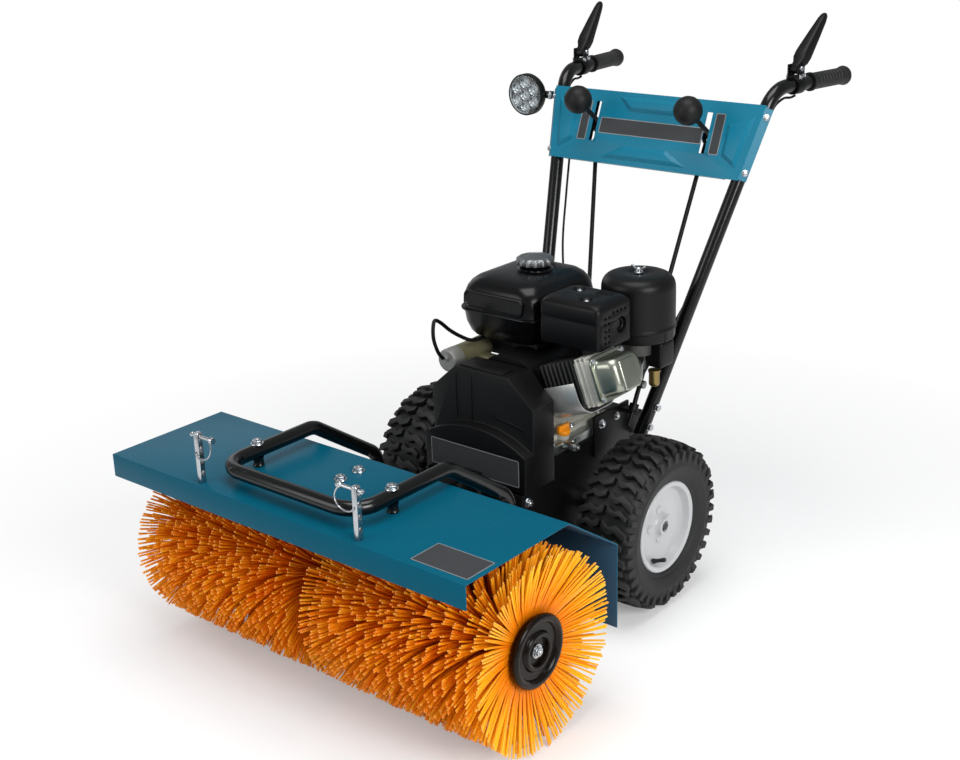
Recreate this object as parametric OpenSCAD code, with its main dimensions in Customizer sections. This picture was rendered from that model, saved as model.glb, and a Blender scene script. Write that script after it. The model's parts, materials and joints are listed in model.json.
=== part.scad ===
// Walk-behind power brush sweeper: petrol engine, belt and worm drive to a two-drum
// brush under a steel hood, friction-disc drive to a solid axle, steering handles with
// clutch levers and a control panel.
// Millimetres. +Z is up, the brush is at -Y, the operator stands at +Y, X is the width.

/* [Wheels] */
// Outer diameter of the tyres
tyre_d = 330; // [300:1:350]
// Width of a tyre
tyre_w = 120; // [100:1:130]
// Distance between the middles of the two tyres
track_w = 510; // [490:1:540]
// Diameter of the rim's bead seat
rim_d = 164; // [150:1:176]
// Diameter of the drive axle
axle_d = 20; // [16:0.5:25]
// Tread lugs round one side of a tyre
lug_count = 18; // [12:1:24]

/* [Brush] */
// Diameter over the bristle tips
brush_d = 350; // [330:1:360]
// Width of the brush over its end plates
brush_w = 784; // [740:1:800]
// Gap between the two brush drums, where the gearbox sits
brush_gap = 92; // [88:1:110]
// Diameter of the steel brush drums
drum_d = 76; // [60:1:84]
// Diameter of the pressed end plates
end_plate_d = 128; // [110:1:140]
// Diameter of the brush shaft
brush_shaft_d = 24; // [20:0.5:28]
// Distance from the axle forward to the brush shaft
brush_reach = 523; // [510:1:535]
// Rings of bristle tufts on one drum
tuft_rows = 11; // [6:1:11]
// Bristle tufts round one ring
tufts_per_row = 22; // [14:4:22]
// Width of one bristle strand
tuft_size = 6; // [3:0.5:7]
// How far the end bristles lean outwards
tuft_splay = 66; // [40:1:68]

/* [Hood] */
// Width of the hood
hood_w = 830; // [820:1:860]
// Distance from the axle to the hood's front lip
front_reach = 722; // [715:1:740]
// Height of the hood's top
hood_top = 388; // [380:1:400]
// Depth of the hood's flat top, front to back
hood_depth = 256; // [245:1:265]
// Height of the front lip
lip_h = 43; // [30:1:60]
// Length of the sloping rear panel, along Y
slope_run = 136; // [125:1:140]
// Drop of the sloping rear panel
slope_drop = 92; // [80:1:105]
// Height of the vertical rear flap
flap_h = 158; // [120:1:170]
// Thickness of the hood's sheet steel
sheet_t = 2.5; // [1.5:0.1:3]

/* [Guard tube] */
// Diameter of the guard tube
guard_d = 25; // [20:1:28]
// Distance between the two sides of the guard tube
guard_w = 332; // [300:1:350]
// Setback of the guard tube behind the hood's lip
guard_setback = 30; // [26:1:45]
// Height of the tube's underside over the hood
guard_lift = 16.5; // [10:0.5:25]
// Bend radius of the guard tube
guard_bend = 48; // [40:1:60]

/* [Accessory posts] */
// Height of the posts over the hood
post_h = 93; // [80:1:110]
// Post size across the pin holes
post_t = 12; // [10:0.5:16]
// Post size along the hood
post_w = 16; // [14:0.5:20]
// Distance between the two posts
post_span = 372; // [365:1:420]
// Diameter of the pin holes in the posts
post_hole_d = 8.4; // [6:0.1:10]

/* [Chassis] */
// Width of the chassis box
chassis_w = 240; // [234:1:260]
// Height of the chassis's top plate
chassis_top = 300; // [296:1:310]
// Height of the chassis's underside
chassis_bottom = 98; // [80:1:100]
// Distance from the axle to the chassis's front
chassis_front = 214; // [210:1:218]
// Distance from the axle to the chassis's rear
chassis_rear = 198; // [192:1:220]
// Thickness of the chassis plates
plate_t = 4; // [4:0.5:6]
// Distance from the axle forward to the swivel pins
swivel_reach = 265; // [262:1:272]
// Diameter of the swivel pins
king_d = 16; // [12:0.5:18]

/* [Engine] */
// Thickness of the engine bed plate
bed_t = 5; // [3:0.5:8]
// Height of the crankshaft over the bed
crank_h = 90; // [88:1:94]
// Lean of the cylinder over the horizontal, degrees
cyl_tilt = 20; // [15:1:22]
// Diameter of the crankshaft
crank_d = 24; // [20:0.5:26]
// Number of cooling fins on the cylinder
fin_count = 8; // [5:1:10]
// Length of the fuel tank, front to back
tank_l = 222; // [200:1:226]
// Width of the fuel tank
tank_w = 194; // [180:1:200]
// Height of the fuel tank's body
tank_h = 118; // [100:1:130]
// Diameter of the air cleaner
cleaner_d = 148; // [130:1:155]
// Height of the air cleaner's cover
cleaner_h = 130; // [110:1:140]

/* [Handles] */
// Diameter of the handle tubes
handle_d = 28; // [25:0.5:32]
// Wall of the handle and guard tubes
tube_wall = 2; // [1.5:0.1:3]
// Diameter of the grips
grip_d = 34; // [33:0.5:40]
// Length of the grips
grip_l = 125; // [100:1:135]
// Distance from the axle to the ends of the grips
rear_reach = 679; // [670:1:690]
// Height of the grips
grip_z = 929; // [900:1:960]
// Length of the clutch levers
lever_l = 137; // [110:1:150]
// Height of the control panel along its face
panel_h = 153; // [140:1:165]
// Diameter of the headlight
lamp_d = 90; // [80:1:95]

/* [Drive] */
// Teeth on the worm wheel
worm_teeth = 20; // [20:1:20]
// Module of the worm drive
worm_m = 4; // [4:0.1:4]
// Teeth on the axle gear
gear_teeth = 46; // [46:1:46]
// Teeth on the pinion that drives the axle gear
pinion_teeth = 14; // [14:1:14]
// Module of the axle gear pair
gear_m = 2.5; // [2.5:0.1:2.5]

/* [Hidden] */
// Clearances: a running shaft, a loose fit, and faces of moving neighbours
run_gap = 0.05;
fit_gap = 0.2;
clear = 0.4;
$fn = 48;

// Places that follow from the driving sizes
axle_y = (front_reach - rear_reach) / 2;
axle_z = tyre_d / 2;
brush_y = -brush_reach;
brush_z = brush_d / 2;
hood_front_y = -front_reach;
hood_top_y = hood_front_y + hood_depth;
flap_y = hood_top_y + slope_run;
flap_z = hood_top - slope_drop;
swivel_y = -swivel_reach;
half_w = chassis_w / 2;
bed_z = chassis_top + bed_t;
crank_z = bed_z + crank_h;

// Worm drive: two-start worm over the wheel on the brush shaft
worm_starts = 2;
worm_r = 14;
worm_wheel_r = worm_teeth * worm_m / 2;
worm_lead = worm_starts * PI * worm_m;
worm_lead_angle = atan(worm_lead / (2 * PI * worm_r));
drive_z = brush_z + worm_wheel_r + worm_r;

// Axle gear pair and friction drive
gear_pitch_r = gear_teeth * gear_m / 2;
pinion_pitch_r = pinion_teeth * gear_m / 2;
gear_centres = gear_pitch_r + pinion_pitch_r;
hex_y = sqrt(pow(gear_centres, 2) - pow(drive_z - axle_z, 2));
friction_r = 45;
friction_gap = 1;
disc_clear = 2;
disc_r = drive_z - axle_z - axle_d / 2 - disc_clear;
disc_face_y = hex_y - friction_r - friction_gap;
gear_x = 68;
gear_w = 14;

// Belts and pulleys
brush_belt_y = -150;
traction_belt_y = -127;
belt_w = 11;
belt_t = 8;
crank_pulley_r = 26;
input_pulley_r = 86;
traction_pulley_r = 50;
groove_side = 3.5;

// Sizes of the swivel head and gearbox
ear_t = 8;
ear_r = 20;
ear_gap = 44;
arm_t = 8;
ball_r = 15;
cup_r = 22;
cup_pin_r = 4;
neck_r = 20;
worm_shaft_r = 9;
box_half_w = 34;
box_r = 57;
box_wall = 6;
head_plate_y = swivel_y - 45;
head_plate_t = 8;
beam_l = guard_w + 34;
beam_z = drive_z + ear_gap - 10;
beam_t = 14;
guard_z = hood_top + guard_lift + guard_d / 2;

// Post places on the hood
post_y = hood_front_y + sheet_t + post_w / 2 + 5;
pin_r = post_hole_d / 2 - 0.35;
post_top_hole = post_h - 8;
post_hole_pitch = 22;

// Engine places, seen from the crankshaft's middle
case_r = 84;
case_l = 196;
cyl_y = -50;
cyl_start = 94;
fin_pitch = 10.5;
fin_t = 3.5;
fin_half = 47;
head_start = cyl_start + fin_count * fin_pitch;
head_l = 40;
cover_l = 46;
recoil_r = 85;
recoil_y = case_l / 2 + 4;
recoil_l = 66;
rope_end = recoil_r + 12;
shell_t = 3;
tank_mid = [-52, 38];
tank_z = crank_z + case_r + 9;
tank_split = 56;
cap_at = [-45, 50];
cleaner_at = [153, 119];
cleaner_rise = 95;
cleaner_z = crank_z + cleaner_rise;
muffler_x = [64, 200];
muffler_y = [-82, 28];
muffler_rise = 124;
muffler_h = 88;
muffler_z = [crank_z + muffler_rise, crank_z + muffler_rise + muffler_h];
shield_bolt_y = [muffler_y[0] + 34, muffler_y[0] + 72];
starter_at = [-122, 60];
starter_r = 23;
starter_y = [-137, -22];
dipstick_at = [case_r + 18, -62, bed_z + 34];
foot_bolt_x = 91.5;
foot_bolt_rise = 26;
foot_bolt_y = [-20, 70];

// Handle and panel places
handle_r = handle_d / 2;
handle_foot = [half_w + handle_r + 0.5, 157, 262];
handle_straight = 238;
handle_bend = [254, rear_reach - 3 - handle_straight, grip_z + 3];
handle_end = [284, rear_reach - 3, grip_z];
handle_lean = atan((handle_bend[1] - handle_foot[1]) / (handle_bend[2] - handle_foot[2]));
handle_radius = 62;
panel_top_half = 256;
panel_low_half = 231;
panel_flange_l = 17;
panel_t = 2;
panel_low_z = 762;
slot_x = 138;
slot_l = 84;
slot_w = 13;
lever_set_back = 74.458;
knob_lead = 104.9;
lamp_lead = 25.03;
lever_pivot = [slot_x, handle_at(795)[1] + lever_set_back, 795];
lever_knob = [slot_x - 5, handle_at(896)[1] - knob_lead, 896];
lever_pin = lever_pivot + (lever_knob - lever_pivot) * 0.32;
pin_half = 4;
eye_play = 5.6;
rod_r = 4.5;
rod_offset = 14;
lamp_at = [-322, handle_at(882)[1] - lamp_lead, 882];
grip_yaw = atan((handle_end[0] - handle_bend[0]) / (handle_end[1] - handle_bend[1]));
clutch_pivot_lift = 32;
clutch_share = 0.3;

// Vectors and outlines
function unit(v) = v / norm(v);
function mix(a, b, t) = a + (b - a) * t;
function mirrored(p) = [-p[0], p[1], p[2]];
function arc(centre, r, from, to, steps) =
    [for (i = [0 : steps]) let (a = from + (to - from) * i / steps)
        centre + r * [cos(a), sin(a)]];
function rounded_rect(w, h, r, steps = 4) = concat(
    arc([w / 2 - r, h / 2 - r], r, 0, 90, steps),
    arc([r - w / 2, h / 2 - r], r, 90, 180, steps),
    arc([r - w / 2, r - h / 2], r, 180, 270, steps),
    arc([w / 2 - r, r - h / 2], r, 270, 360, steps));
function left_normal(a, b) = let (d = unit(b - a)) [-d[1], d[0]];
function offset_corner(a, b, c, t) =
    let (n = left_normal(a, b), m = left_normal(b, c)) b + t * (n + m) / (1 + n * m);
function offset_path(p, t) = [for (i = [0 : len(p) - 1])
    i == 0 ? p[0] + t * left_normal(p[0], p[1])
    : i == len(p) - 1 ? p[i] + t * left_normal(p[i - 1], p[i])
    : offset_corner(p[i - 1], p[i], p[i + 1], t)];
function reversed(p) = [for (i = [len(p) - 1 : -1 : 0]) p[i]];
function spline_point(p, i, t) =
    let (a = p[max(i - 1, 0)], b = p[i], c = p[i + 1], d = p[min(i + 2, len(p) - 1)])
    0.5 * (2 * b + (c - a) * t + (2 * a - 5 * b + 4 * c - d) * t * t
        + (3 * b - a - 3 * c + d) * t * t * t);
function spline(p, steps) = concat(
    [for (i = [0 : len(p) - 2], k = [0 : steps - 1]) spline_point(p, i, k / steps)],
    [p[len(p) - 1]]);

// Children turned so that their +Z runs from a towards b
module along(a, b) {
    d = b - a;
    translate(a) rotate([0, acos(d[2] / norm(d)), atan2(d[1], d[0])]) children();
}

module rod(a, b, r) along(a, b) cylinder(r = r, h = norm(b - a));

// Children turned so that their +Z runs along the named axis
module along_x() rotate([0, 90, 0]) children();
module along_y() rotate([-90, 0, 0]) children();

module both_sides() {
    children();
    mirror([1, 0, 0]) children();
}

// Places and directions along a line through corner points, with bends of one radius
function bend_stations(a, b, c, bend, steps) = let (
    u = unit(b - a), v = unit(c - b), turn = acos(u * v), start = b - u * bend * tan(turn / 2),
    centre = b + unit(v - u) * bend / cos(turn / 2), x = unit(start - centre))
    [for (k = [0 : steps]) let (t = turn * k / steps)
        [centre + bend * (x * cos(t) + u * sin(t)), u * cos(t) - x * sin(t)]];
function stations(p, bend, steps) = let (last = len(p) - 1) concat(
    [[p[0], unit(p[1] - p[0])]],
    [for (i = [1 : last - 1]) each bend_stations(p[i - 1], p[i], p[i + 1], bend, steps)],
    [[p[last], unit(p[last] - p[last - 1])]]);
function carried(route, side, i = 0) = i == len(route) ? [] : let (t = route[i][1],
    s = unit(side - (side * t) * t)) concat([s], carried(route, s, i + 1));

// A round tube through corner points, with open ends
module bent_tube(p, r, wall, bend, sides = 16, steps = 6) {
    route = stations(p, bend, steps);
    n = len(route);
    across = carried(route, [1, 0.01, 0.02]);
    skin = [for (q = [r, r - wall], i = [0 : n - 1], k = [0 : sides - 1]) let (a = 360 * (k + 0.5) / sides)
        route[i][0] + q * (across[i] * cos(a) + cross(route[i][1], across[i]) * sin(a))];
    o = n * sides;
    walls = [for (i = [0 : n - 2], k = [0 : sides - 1])
        let (a = i * sides + k, b = i * sides + (k + 1) % sides)
        each [[a, a + sides, b + sides], [a, b + sides, b],
            [o + a, o + b + sides, o + a + sides], [o + a, o + b, o + b + sides]]];
    ends = [for (k = [0 : sides - 1]) let (b = (k + 1) % sides, e = (n - 1) * sides)
        each [[k, b, o + b], [k, o + b, o + k], [e + k, o + e + b, e + b], [e + k, o + e + k, o + e + b]]];
    polyhedron(skin, concat(walls, ends));
}

// A cable of few sides swept along a smooth curve through hand-picked points
module cable(route, d, sides = 8, steps = 4) {
    c = spline(route, steps);
    n = len(c);
    ahead = [for (i = [0 : n - 1]) unit(c[min(i + 1, n - 1)] - c[max(i - 1, 0)])];
    side = [for (t = ahead) unit(cross(t, [0.31, 0.17, 0.05]))];
    points = [for (i = [0 : n - 1], k = [0 : sides - 1])
        let (a = 360 * k / sides) c[i] + d / 2 * (side[i] * cos(a) + cross(ahead[i], side[i]) * sin(a))];
    walls = [for (i = [0 : n - 2], k = [0 : sides - 1], half = [0, 1])
        let (a = i * sides + k, b = i * sides + (k + 1) % sides)
        half == 0 ? [a, a + sides, b + sides] : [a, b + sides, b]];
    ends = [for (k = [1 : sides - 2], half = [0, 1])
        let (o = (n - 1) * sides) half == 0 ? [0, k, k + 1] : [o, o + k + 1, o + k]];
    polyhedron(concat(points), concat(walls, ends));
}

// A closed solid through stacked outlines that have the same number of points
module loft(rings) {
    m = len(rings[0]);
    n = len(rings);
    walls = [for (i = [0 : n - 2], k = [0 : m - 1], half = [0, 1])
        let (a = i * m + k, b = i * m + (k + 1) % m)
        half == 0 ? [a, a + m, b + m] : [a, b + m, b]];
    ends = [for (k = [1 : m - 2], half = [0, 1])
        let (o = (n - 1) * m) half == 0 ? [0, k, k + 1] : [o, o + k + 1, o + k]];
    polyhedron([for (r = rings, p = r) p], concat(walls, ends));
}

function slab_ring(w, l, r, z, at = [0, 0]) =
    [for (p = rounded_rect(w, l, r)) [p[0] + at[0], p[1] + at[1], z]];

// A hexagon-headed bolt seen from its seat, with its washer, pointing up +Z
module bolt_head(d) {
    cylinder(r = d * 1.1, h = d * 0.18);
    translate([0, 0, d * 0.18]) cylinder(r = d * 0.92, h = d * 0.6, $fn = 6);
}

// Wheels and axle
bead_r = rim_d / 2;
tread_h = 9;
module tyre() {
    carcass_r = tyre_d / 2 - tread_h;
    bead = tyre_w * 0.375;
    half = [[bead_r, -bead], [bead_r + 10, -bead], [bead_r + 22, -bead - 9], [bead_r + 36, 2 - tyre_w / 2],
        [bead_r + 48, -tyre_w / 2], [carcass_r - 14, 4 - tyre_w / 2], [carcass_r - 4, 13 - tyre_w / 2],
        [carcass_r, -tyre_w / 5]];
    lug_l = tyre_w * 0.5;
    lug_w = tyre_d * 0.06;
    hollow = [[carcass_r - 18, -tyre_w / 3], [bead_r + 40, 12 - tyre_w / 2], [bead_r + 20, 8 - bead],
        [bead_r, 12 - bead]];
    along_x() rotate_extrude() polygon(concat(half, [for (p = reversed(half)) [p[0], -p[1]]],
        [for (p = reversed(hollow)) [p[0], -p[1]]], hollow));
    intersection() {
        union() for (i = [0 : lug_count - 1], s = [-1, 1])
            rotate([360 * (i + (s > 0 ? 0.5 : 0)) / lug_count, 0, 0])
                translate([s * tyre_w * 0.25, 0, carcass_r - 16])
                rotate([0, 0, s * 28]) translate([-lug_l / 2, -lug_w / 2, 0]) cube([lug_l, lug_w, 50]);
        translate([1 - tyre_w / 2, 0, 0]) along_x() cylinder(d = tyre_d, h = tyre_w - 2);
    }
}

module rim() {
    seat = bead_r - fit_gap;
    w = tyre_w * 0.375 + 0.5;
    lip = seat + 9;
    hub_r = axle_d / 2 + 10;
    dish = 30;
    hub_end = dish + 14;
    bore = axle_d / 2 + 0.05;
    along_x() rotate_extrude() polygon([[bore, -34], [hub_r, -34], [hub_r, dish - 8],
        [hub_r + 14, dish - 8],
        [seat - 18, dish - 3], [seat - 4, dish - 5], [seat - 4, 2 - w], [lip - 4, -w - 4], [lip, -w - 4],
        [lip, -w], [seat, -w], [seat, w], [lip, w], [lip, w + 4], [lip - 4, w + 4], [seat - 4, w - 2],
        [seat - 4, dish + 1], [seat - 18, dish + 3], [hub_r + 14, dish - 2], [hub_r, dish + 2],
            [hub_r - 4, hub_end], [bore, hub_end]]);
}

module both_wheels() for (s = [0, 1]) mirror([s, 0, 0]) translate([track_w / 2, 0, axle_z]) children();

module tyres() color([0.07, 0.07, 0.07]) both_wheels() tyre();

module rims() color([0.88, 0.88, 0.86]) both_wheels() rim();

// A spur gear outline with straight flanks and some backlash
function gear_outline(teeth, m, phase = 0) = let (p = 360 / teeth, r = teeth * m / 2)
    [for (i = [0 : teeth - 1], k = [0 : 3]) let (
        a = phase + i * p + [-0.29, -0.125, 0.125, 0.29][k] * p * [1, 0.9, 0.9, 1][k],
        q = r + [-1.25, 0.85, 0.85, -1.25][k] * m) q * [cos(a), sin(a)]];

module drive_axle() {
    length = track_w + 2 * 30;
    // A tooth gap of the gear faces the pinion's tooth, along the line of centres
    to_pinion = atan2(drive_z - axle_z, hex_y);
    color("dimgray") translate([0, 0, axle_z]) {
        difference() {
            translate([-length / 2, 0, 0]) along_x() cylinder(d = axle_d, h = length);
            for (s = [-1, 1]) translate([s * length / 2, 0, 0]) along_x()
                cylinder(r = axle_d / 4, h = 24, center = true);
        }
        translate([gear_x, 0, 0]) rotate([90, 0, 90]) linear_extrude(gear_w)
            polygon(gear_outline(gear_teeth, gear_m, to_pinion + 180 / gear_teeth));
        translate([gear_x - 8, 0, 0]) along_x() cylinder(r = axle_d / 2 + 9, h = gear_w + 16);
    }
}

module axle_bearings() {
    flange_t = 4;
    color("silver") both_sides() translate([half_w + flange_t, 0, axle_z]) along_x() rotate([0, 180, 0])
        difference() {
            union() {
                cylinder(r = axle_d / 2 + 14, h = flange_t);
                cylinder(r = axle_d / 2 + 6, h = flange_t + plate_t + 6);
            }
            translate([0, 0, -1]) cylinder(r = axle_d / 2 + run_gap, h = 40);
        }
}

// Chassis box with the belt bay in front, the drive bay behind it and the swivel ears
bay_y = -112;
bay_top = 258;
bracket_y = [14, 132];
angle_rod_top = lever_pin - [rod_offset, 0, 0];
angle_rod_foot = [half_w + 30, 104, chassis_top + 28];
speed_rod_foot = [-22, chassis_rear - 18, chassis_top + 8];
speed_rod_top = mirrored(lever_pin) - [rod_offset, 0, 0];
guide_l = 16;

module rod_bore(foot, top) along(mix(foot, top, -0.1), top) rotate(90)
    cylinder(r = rod_r + clear, h = norm(top - foot));
module rod_guide(foot, top) along(foot, top) translate([0, 0, 6]) cylinder(r = rod_r + 5, h = guide_l);

module chassis_plates() {
    side = [[-chassis_front, chassis_bottom], [chassis_rear, chassis_bottom], [chassis_rear, chassis_top],
        [bay_y, chassis_top], [bay_y, bay_top], [-chassis_front, bay_top]];
    both_sides() translate([half_w - plate_t, 0, 0]) rotate([90, 0, 90]) linear_extrude(plate_t)
        polygon(side);
    // Front plate, raised in the middle behind the swivel ears
    ear_top = drive_z + ear_gap + ear_t;
    translate([0, plate_t - chassis_front, 0]) rotate([90, 0, 0]) linear_extrude(plate_t) polygon([
        [-half_w, chassis_bottom], [half_w, chassis_bottom], [half_w, bay_top], [ear_r, bay_top],
            [ear_r, ear_top],
        [-ear_r, ear_top], [-ear_r, bay_top], [-half_w, bay_top]]);
    translate([-half_w, chassis_rear - plate_t, chassis_bottom])
        cube([chassis_w, plate_t, chassis_top - chassis_bottom]);
    translate([-half_w, bay_y, chassis_bottom]) cube([chassis_w, 4, chassis_top - chassis_bottom]);
    translate([-half_w, bay_y, chassis_top - plate_t]) cube([chassis_w, chassis_rear - bay_y, plate_t]);
    translate([-half_w, -chassis_front, chassis_bottom]) cube([chassis_w, chassis_front + chassis_rear, 3]);
    both_sides() translate([half_w - 1, -chassis_front, chassis_bottom])
        cube([13, chassis_front - 60, 4]);
    // The two swivel ears
    for (z = [drive_z + ear_gap, drive_z - ear_gap - ear_t]) translate([0, 0, z]) linear_extrude(ear_t)
        polygon(
        concat(arc([0, swivel_y], ear_r, 180, 360, 12),
            [[ear_r, 1 - chassis_front], [-ear_r, 1 - chassis_front]]));
    // Boss of the input shaft's bearing
    translate([0, -chassis_front - 8, drive_z]) along_y() cylinder(r = 24, h = 18);
    // Boss of the friction disc's bearing
    translate([0, bay_y - 2, drive_z]) along_y() cylinder(r = 22, h = 18);
    // Bracket that carries the brush angle rod
    both_sides() translate([half_w - 1, bracket_y[0], chassis_top - 40])
        cube([5, bracket_y[1] - bracket_y[0], 84]);
    translate([half_w + 2, angle_rod_foot[1] - 4, chassis_top + 30])
        cube([angle_rod_foot[0] - half_w - 4, 20, 9]);
    rod_guide(angle_rod_foot, angle_rod_top);
    rod_guide(speed_rod_foot, speed_rod_top);
    translate([speed_rod_foot[0] - 18, speed_rod_foot[1] - 4, chassis_top - 1]) cube([14, 18, 20]);
    // Seats of the hexagon shaft's bearings
    both_sides() translate([half_w - plate_t - 5, hex_y, drive_z]) along_x() cylinder(r = 15, h = 6);
}

module chassis_frame() color([0.09, 0.09, 0.1]) difference() {
    chassis_plates();
    translate([0, swivel_y, chassis_bottom]) cylinder(r = king_d / 2 + run_gap, h = 300);
    translate([0, -chassis_front - 30, drive_z]) along_y() cylinder(r = 11 + run_gap, h = 60);
    translate([0, bay_y - 30, drive_z]) along_y() cylinder(r = 10 + run_gap, h = 60);
    translate([-half_w - 20, 0, axle_z]) along_x()
        cylinder(r = axle_d / 2 + 6 + fit_gap, h = chassis_w + 40);
    translate([6 - half_w, hex_y, drive_z]) along_x() cylinder(r = 8 + run_gap, h = chassis_w - 12);
    rod_bore(angle_rod_foot, angle_rod_top);
    rod_bore(speed_rod_foot, speed_rod_top);
}

// Drive train inside the chassis
module pulley(belt_r, w, hub_r) {
    outer = belt_r + belt_t + 1;
    rotate_extrude() polygon([[0, -w / 2], [hub_r, -w / 2], [belt_r - 8, -4], [belt_r - 6, -w / 2],
        [outer, -w / 2], [outer, -w / 2 + 2], [belt_r - 1, -belt_w / 2 + 1.5 - 0.5],
        [belt_r - 1, belt_w / 2 - 1.5 + 0.5], [outer, w / 2 - 2], [outer, w / 2], [belt_r - 6, w / 2],
        [belt_r - 8, 4], [hub_r, w / 2], [0, w / 2]]);
}

pulley_w = belt_w + 2 * groove_side;

module belt(y, r_top, r_low) color([0.06, 0.06, 0.06]) translate([0, y, 0]) rotate([90, 0, 0])
    linear_extrude(belt_w - 4, center = true) difference() {
        hull() {
            translate([0, crank_z]) circle(r_top + belt_t, $fn = 32);
            translate([0, drive_z]) circle(r_low + belt_t, $fn = 32);
        }
        hull() {
            translate([0, crank_z]) circle((r_top - 0.65) / cos(180 / 32), $fn = 32);
            translate([0, drive_z]) circle((r_low - 0.65) / cos(180 / 32), $fn = 32);
        }
    }

module brush_belt() belt(brush_belt_y, crank_pulley_r, input_pulley_r);
module traction_belt() belt(traction_belt_y, crank_pulley_r, traction_pulley_r);

module crankshaft() color("dimgray") translate([0, 0, crank_z]) {
    nose = brush_belt_y - pulley_w / 2 - 6;
    translate([0, nose, 0]) along_y() cylinder(r = crank_d / 2, h = recoil_y + 44 - nose);
    for (y = [brush_belt_y, traction_belt_y]) translate([0, y, 0]) along_y()
        pulley(crank_pulley_r, pulley_w, crank_d / 2 + 4);
    // Flywheel with its fan ring
    translate([0, recoil_y + 8, 0]) along_y() difference() {
        cylinder(r = recoil_r - 14, h = 30);
        translate([0, 0, 16]) cylinder(r = recoil_r - 26, h = 20);
        for (i = [0 : 11]) rotate(i * 30) translate([recoil_r - 24, -3, 12]) cube([14, 6, 20]);
    }
    translate([0, recoil_y + 8, 0]) along_y() cylinder(r = 24, h = 22);
}

module input_shaft() color("gray") translate([0, 0, drive_z]) {
    translate([0, brush_belt_y, 0]) along_y() pulley(input_pulley_r, pulley_w, 26);
    difference() {
        union() {
            translate([0, swivel_y + 16, 0]) along_y() cylinder(r = 11, h = brush_belt_y - swivel_y - 16);
            translate([0, swivel_y - 17, 0]) along_y() cylinder(r = cup_r, h = 37);
        }
        translate([0, swivel_y - 18, 0]) along_y() cylinder(r = ball_r + clear, h = 34.4);
        translate([-cup_r - 1, swivel_y - 18, -cup_pin_r - clear])
            cube([2 * cup_r + 2, 29, 2 * (cup_pin_r + clear)]);
    }
}

module friction_disc() color("gray") translate([0, 0, drive_z]) {
    translate([0, traction_belt_y, 0]) along_y() pulley(traction_pulley_r, pulley_w, 20);
    translate([0, traction_belt_y - pulley_w / 2, 0]) along_y()
        cylinder(r = 10, h = disc_face_y - traction_belt_y + pulley_w / 2 - 1);
    translate([0, disc_face_y - 8, 0]) along_y() cylinder(r = disc_r, h = 8);
}

module hex_shaft() color("gray") translate([0, hex_y, drive_z]) {
    reach = half_w - plate_t - 5;
    to_axle = atan2(axle_z - drive_z, -hex_y);
    translate([0.5 - reach, 0, 0]) along_x() cylinder(r = 7.5, h = 2 * reach - 1, $fn = 6);
    both_sides() translate([reach - 2, 0, 0]) along_x() cylinder(r = 8, h = 4);
    translate([-34, 0, 0]) along_x() cylinder(r = friction_r, h = 9);
    translate([-42, 0, 0]) along_x() cylinder(r = 18, h = 25);
    translate([gear_x - 1, 0, 0]) rotate([90, 0, 90]) linear_extrude(gear_w + 2)
        polygon(gear_outline(pinion_teeth, gear_m, to_axle));
}

// Brush: shaft, drums, strands and end plates
drum_in = brush_gap / 2;
drum_out = brush_w / 2 - 6;

module brush_shaft() color("dimgray") translate([-drum_out - 5, brush_y, brush_z])
    along_x() cylinder(d = brush_shaft_d, h = 2 * drum_out + 10);

module brush_drums() {
    wall = 3;
    bore = brush_shaft_d / 2 + 0.05;
    color([0.1, 0.1, 0.1]) both_sides() translate([drum_in, brush_y, brush_z]) along_x() rotate_extrude()
        polygon([[bore, 0], [drum_d / 2, 0], [drum_d / 2, drum_out - drum_in], [bore, drum_out - drum_in],
            [bore, drum_out - drum_in - 6], [drum_d / 2 - wall, drum_out - drum_in - 6],
            [drum_d / 2 - wall, 6], [bore, 6]]);
}

module end_plates() color([0.08, 0.08, 0.09]) both_sides() translate([drum_out + 0.2, brush_y, brush_z])
    along_x() {
    r = end_plate_d / 2;
    rotate_extrude() polygon([[brush_shaft_d / 2 + 0.1, 0], [r - 3, 0], [r, 2], [r, 5], [r - 6, 9],
        [r - 16, 7],
        [r - 30, 3.5], [brush_shaft_d / 2 + 12, 3.5], [brush_shaft_d / 2 + 7, 8],
            [brush_shaft_d / 2 + 0.1, 8]]);
}

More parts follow.
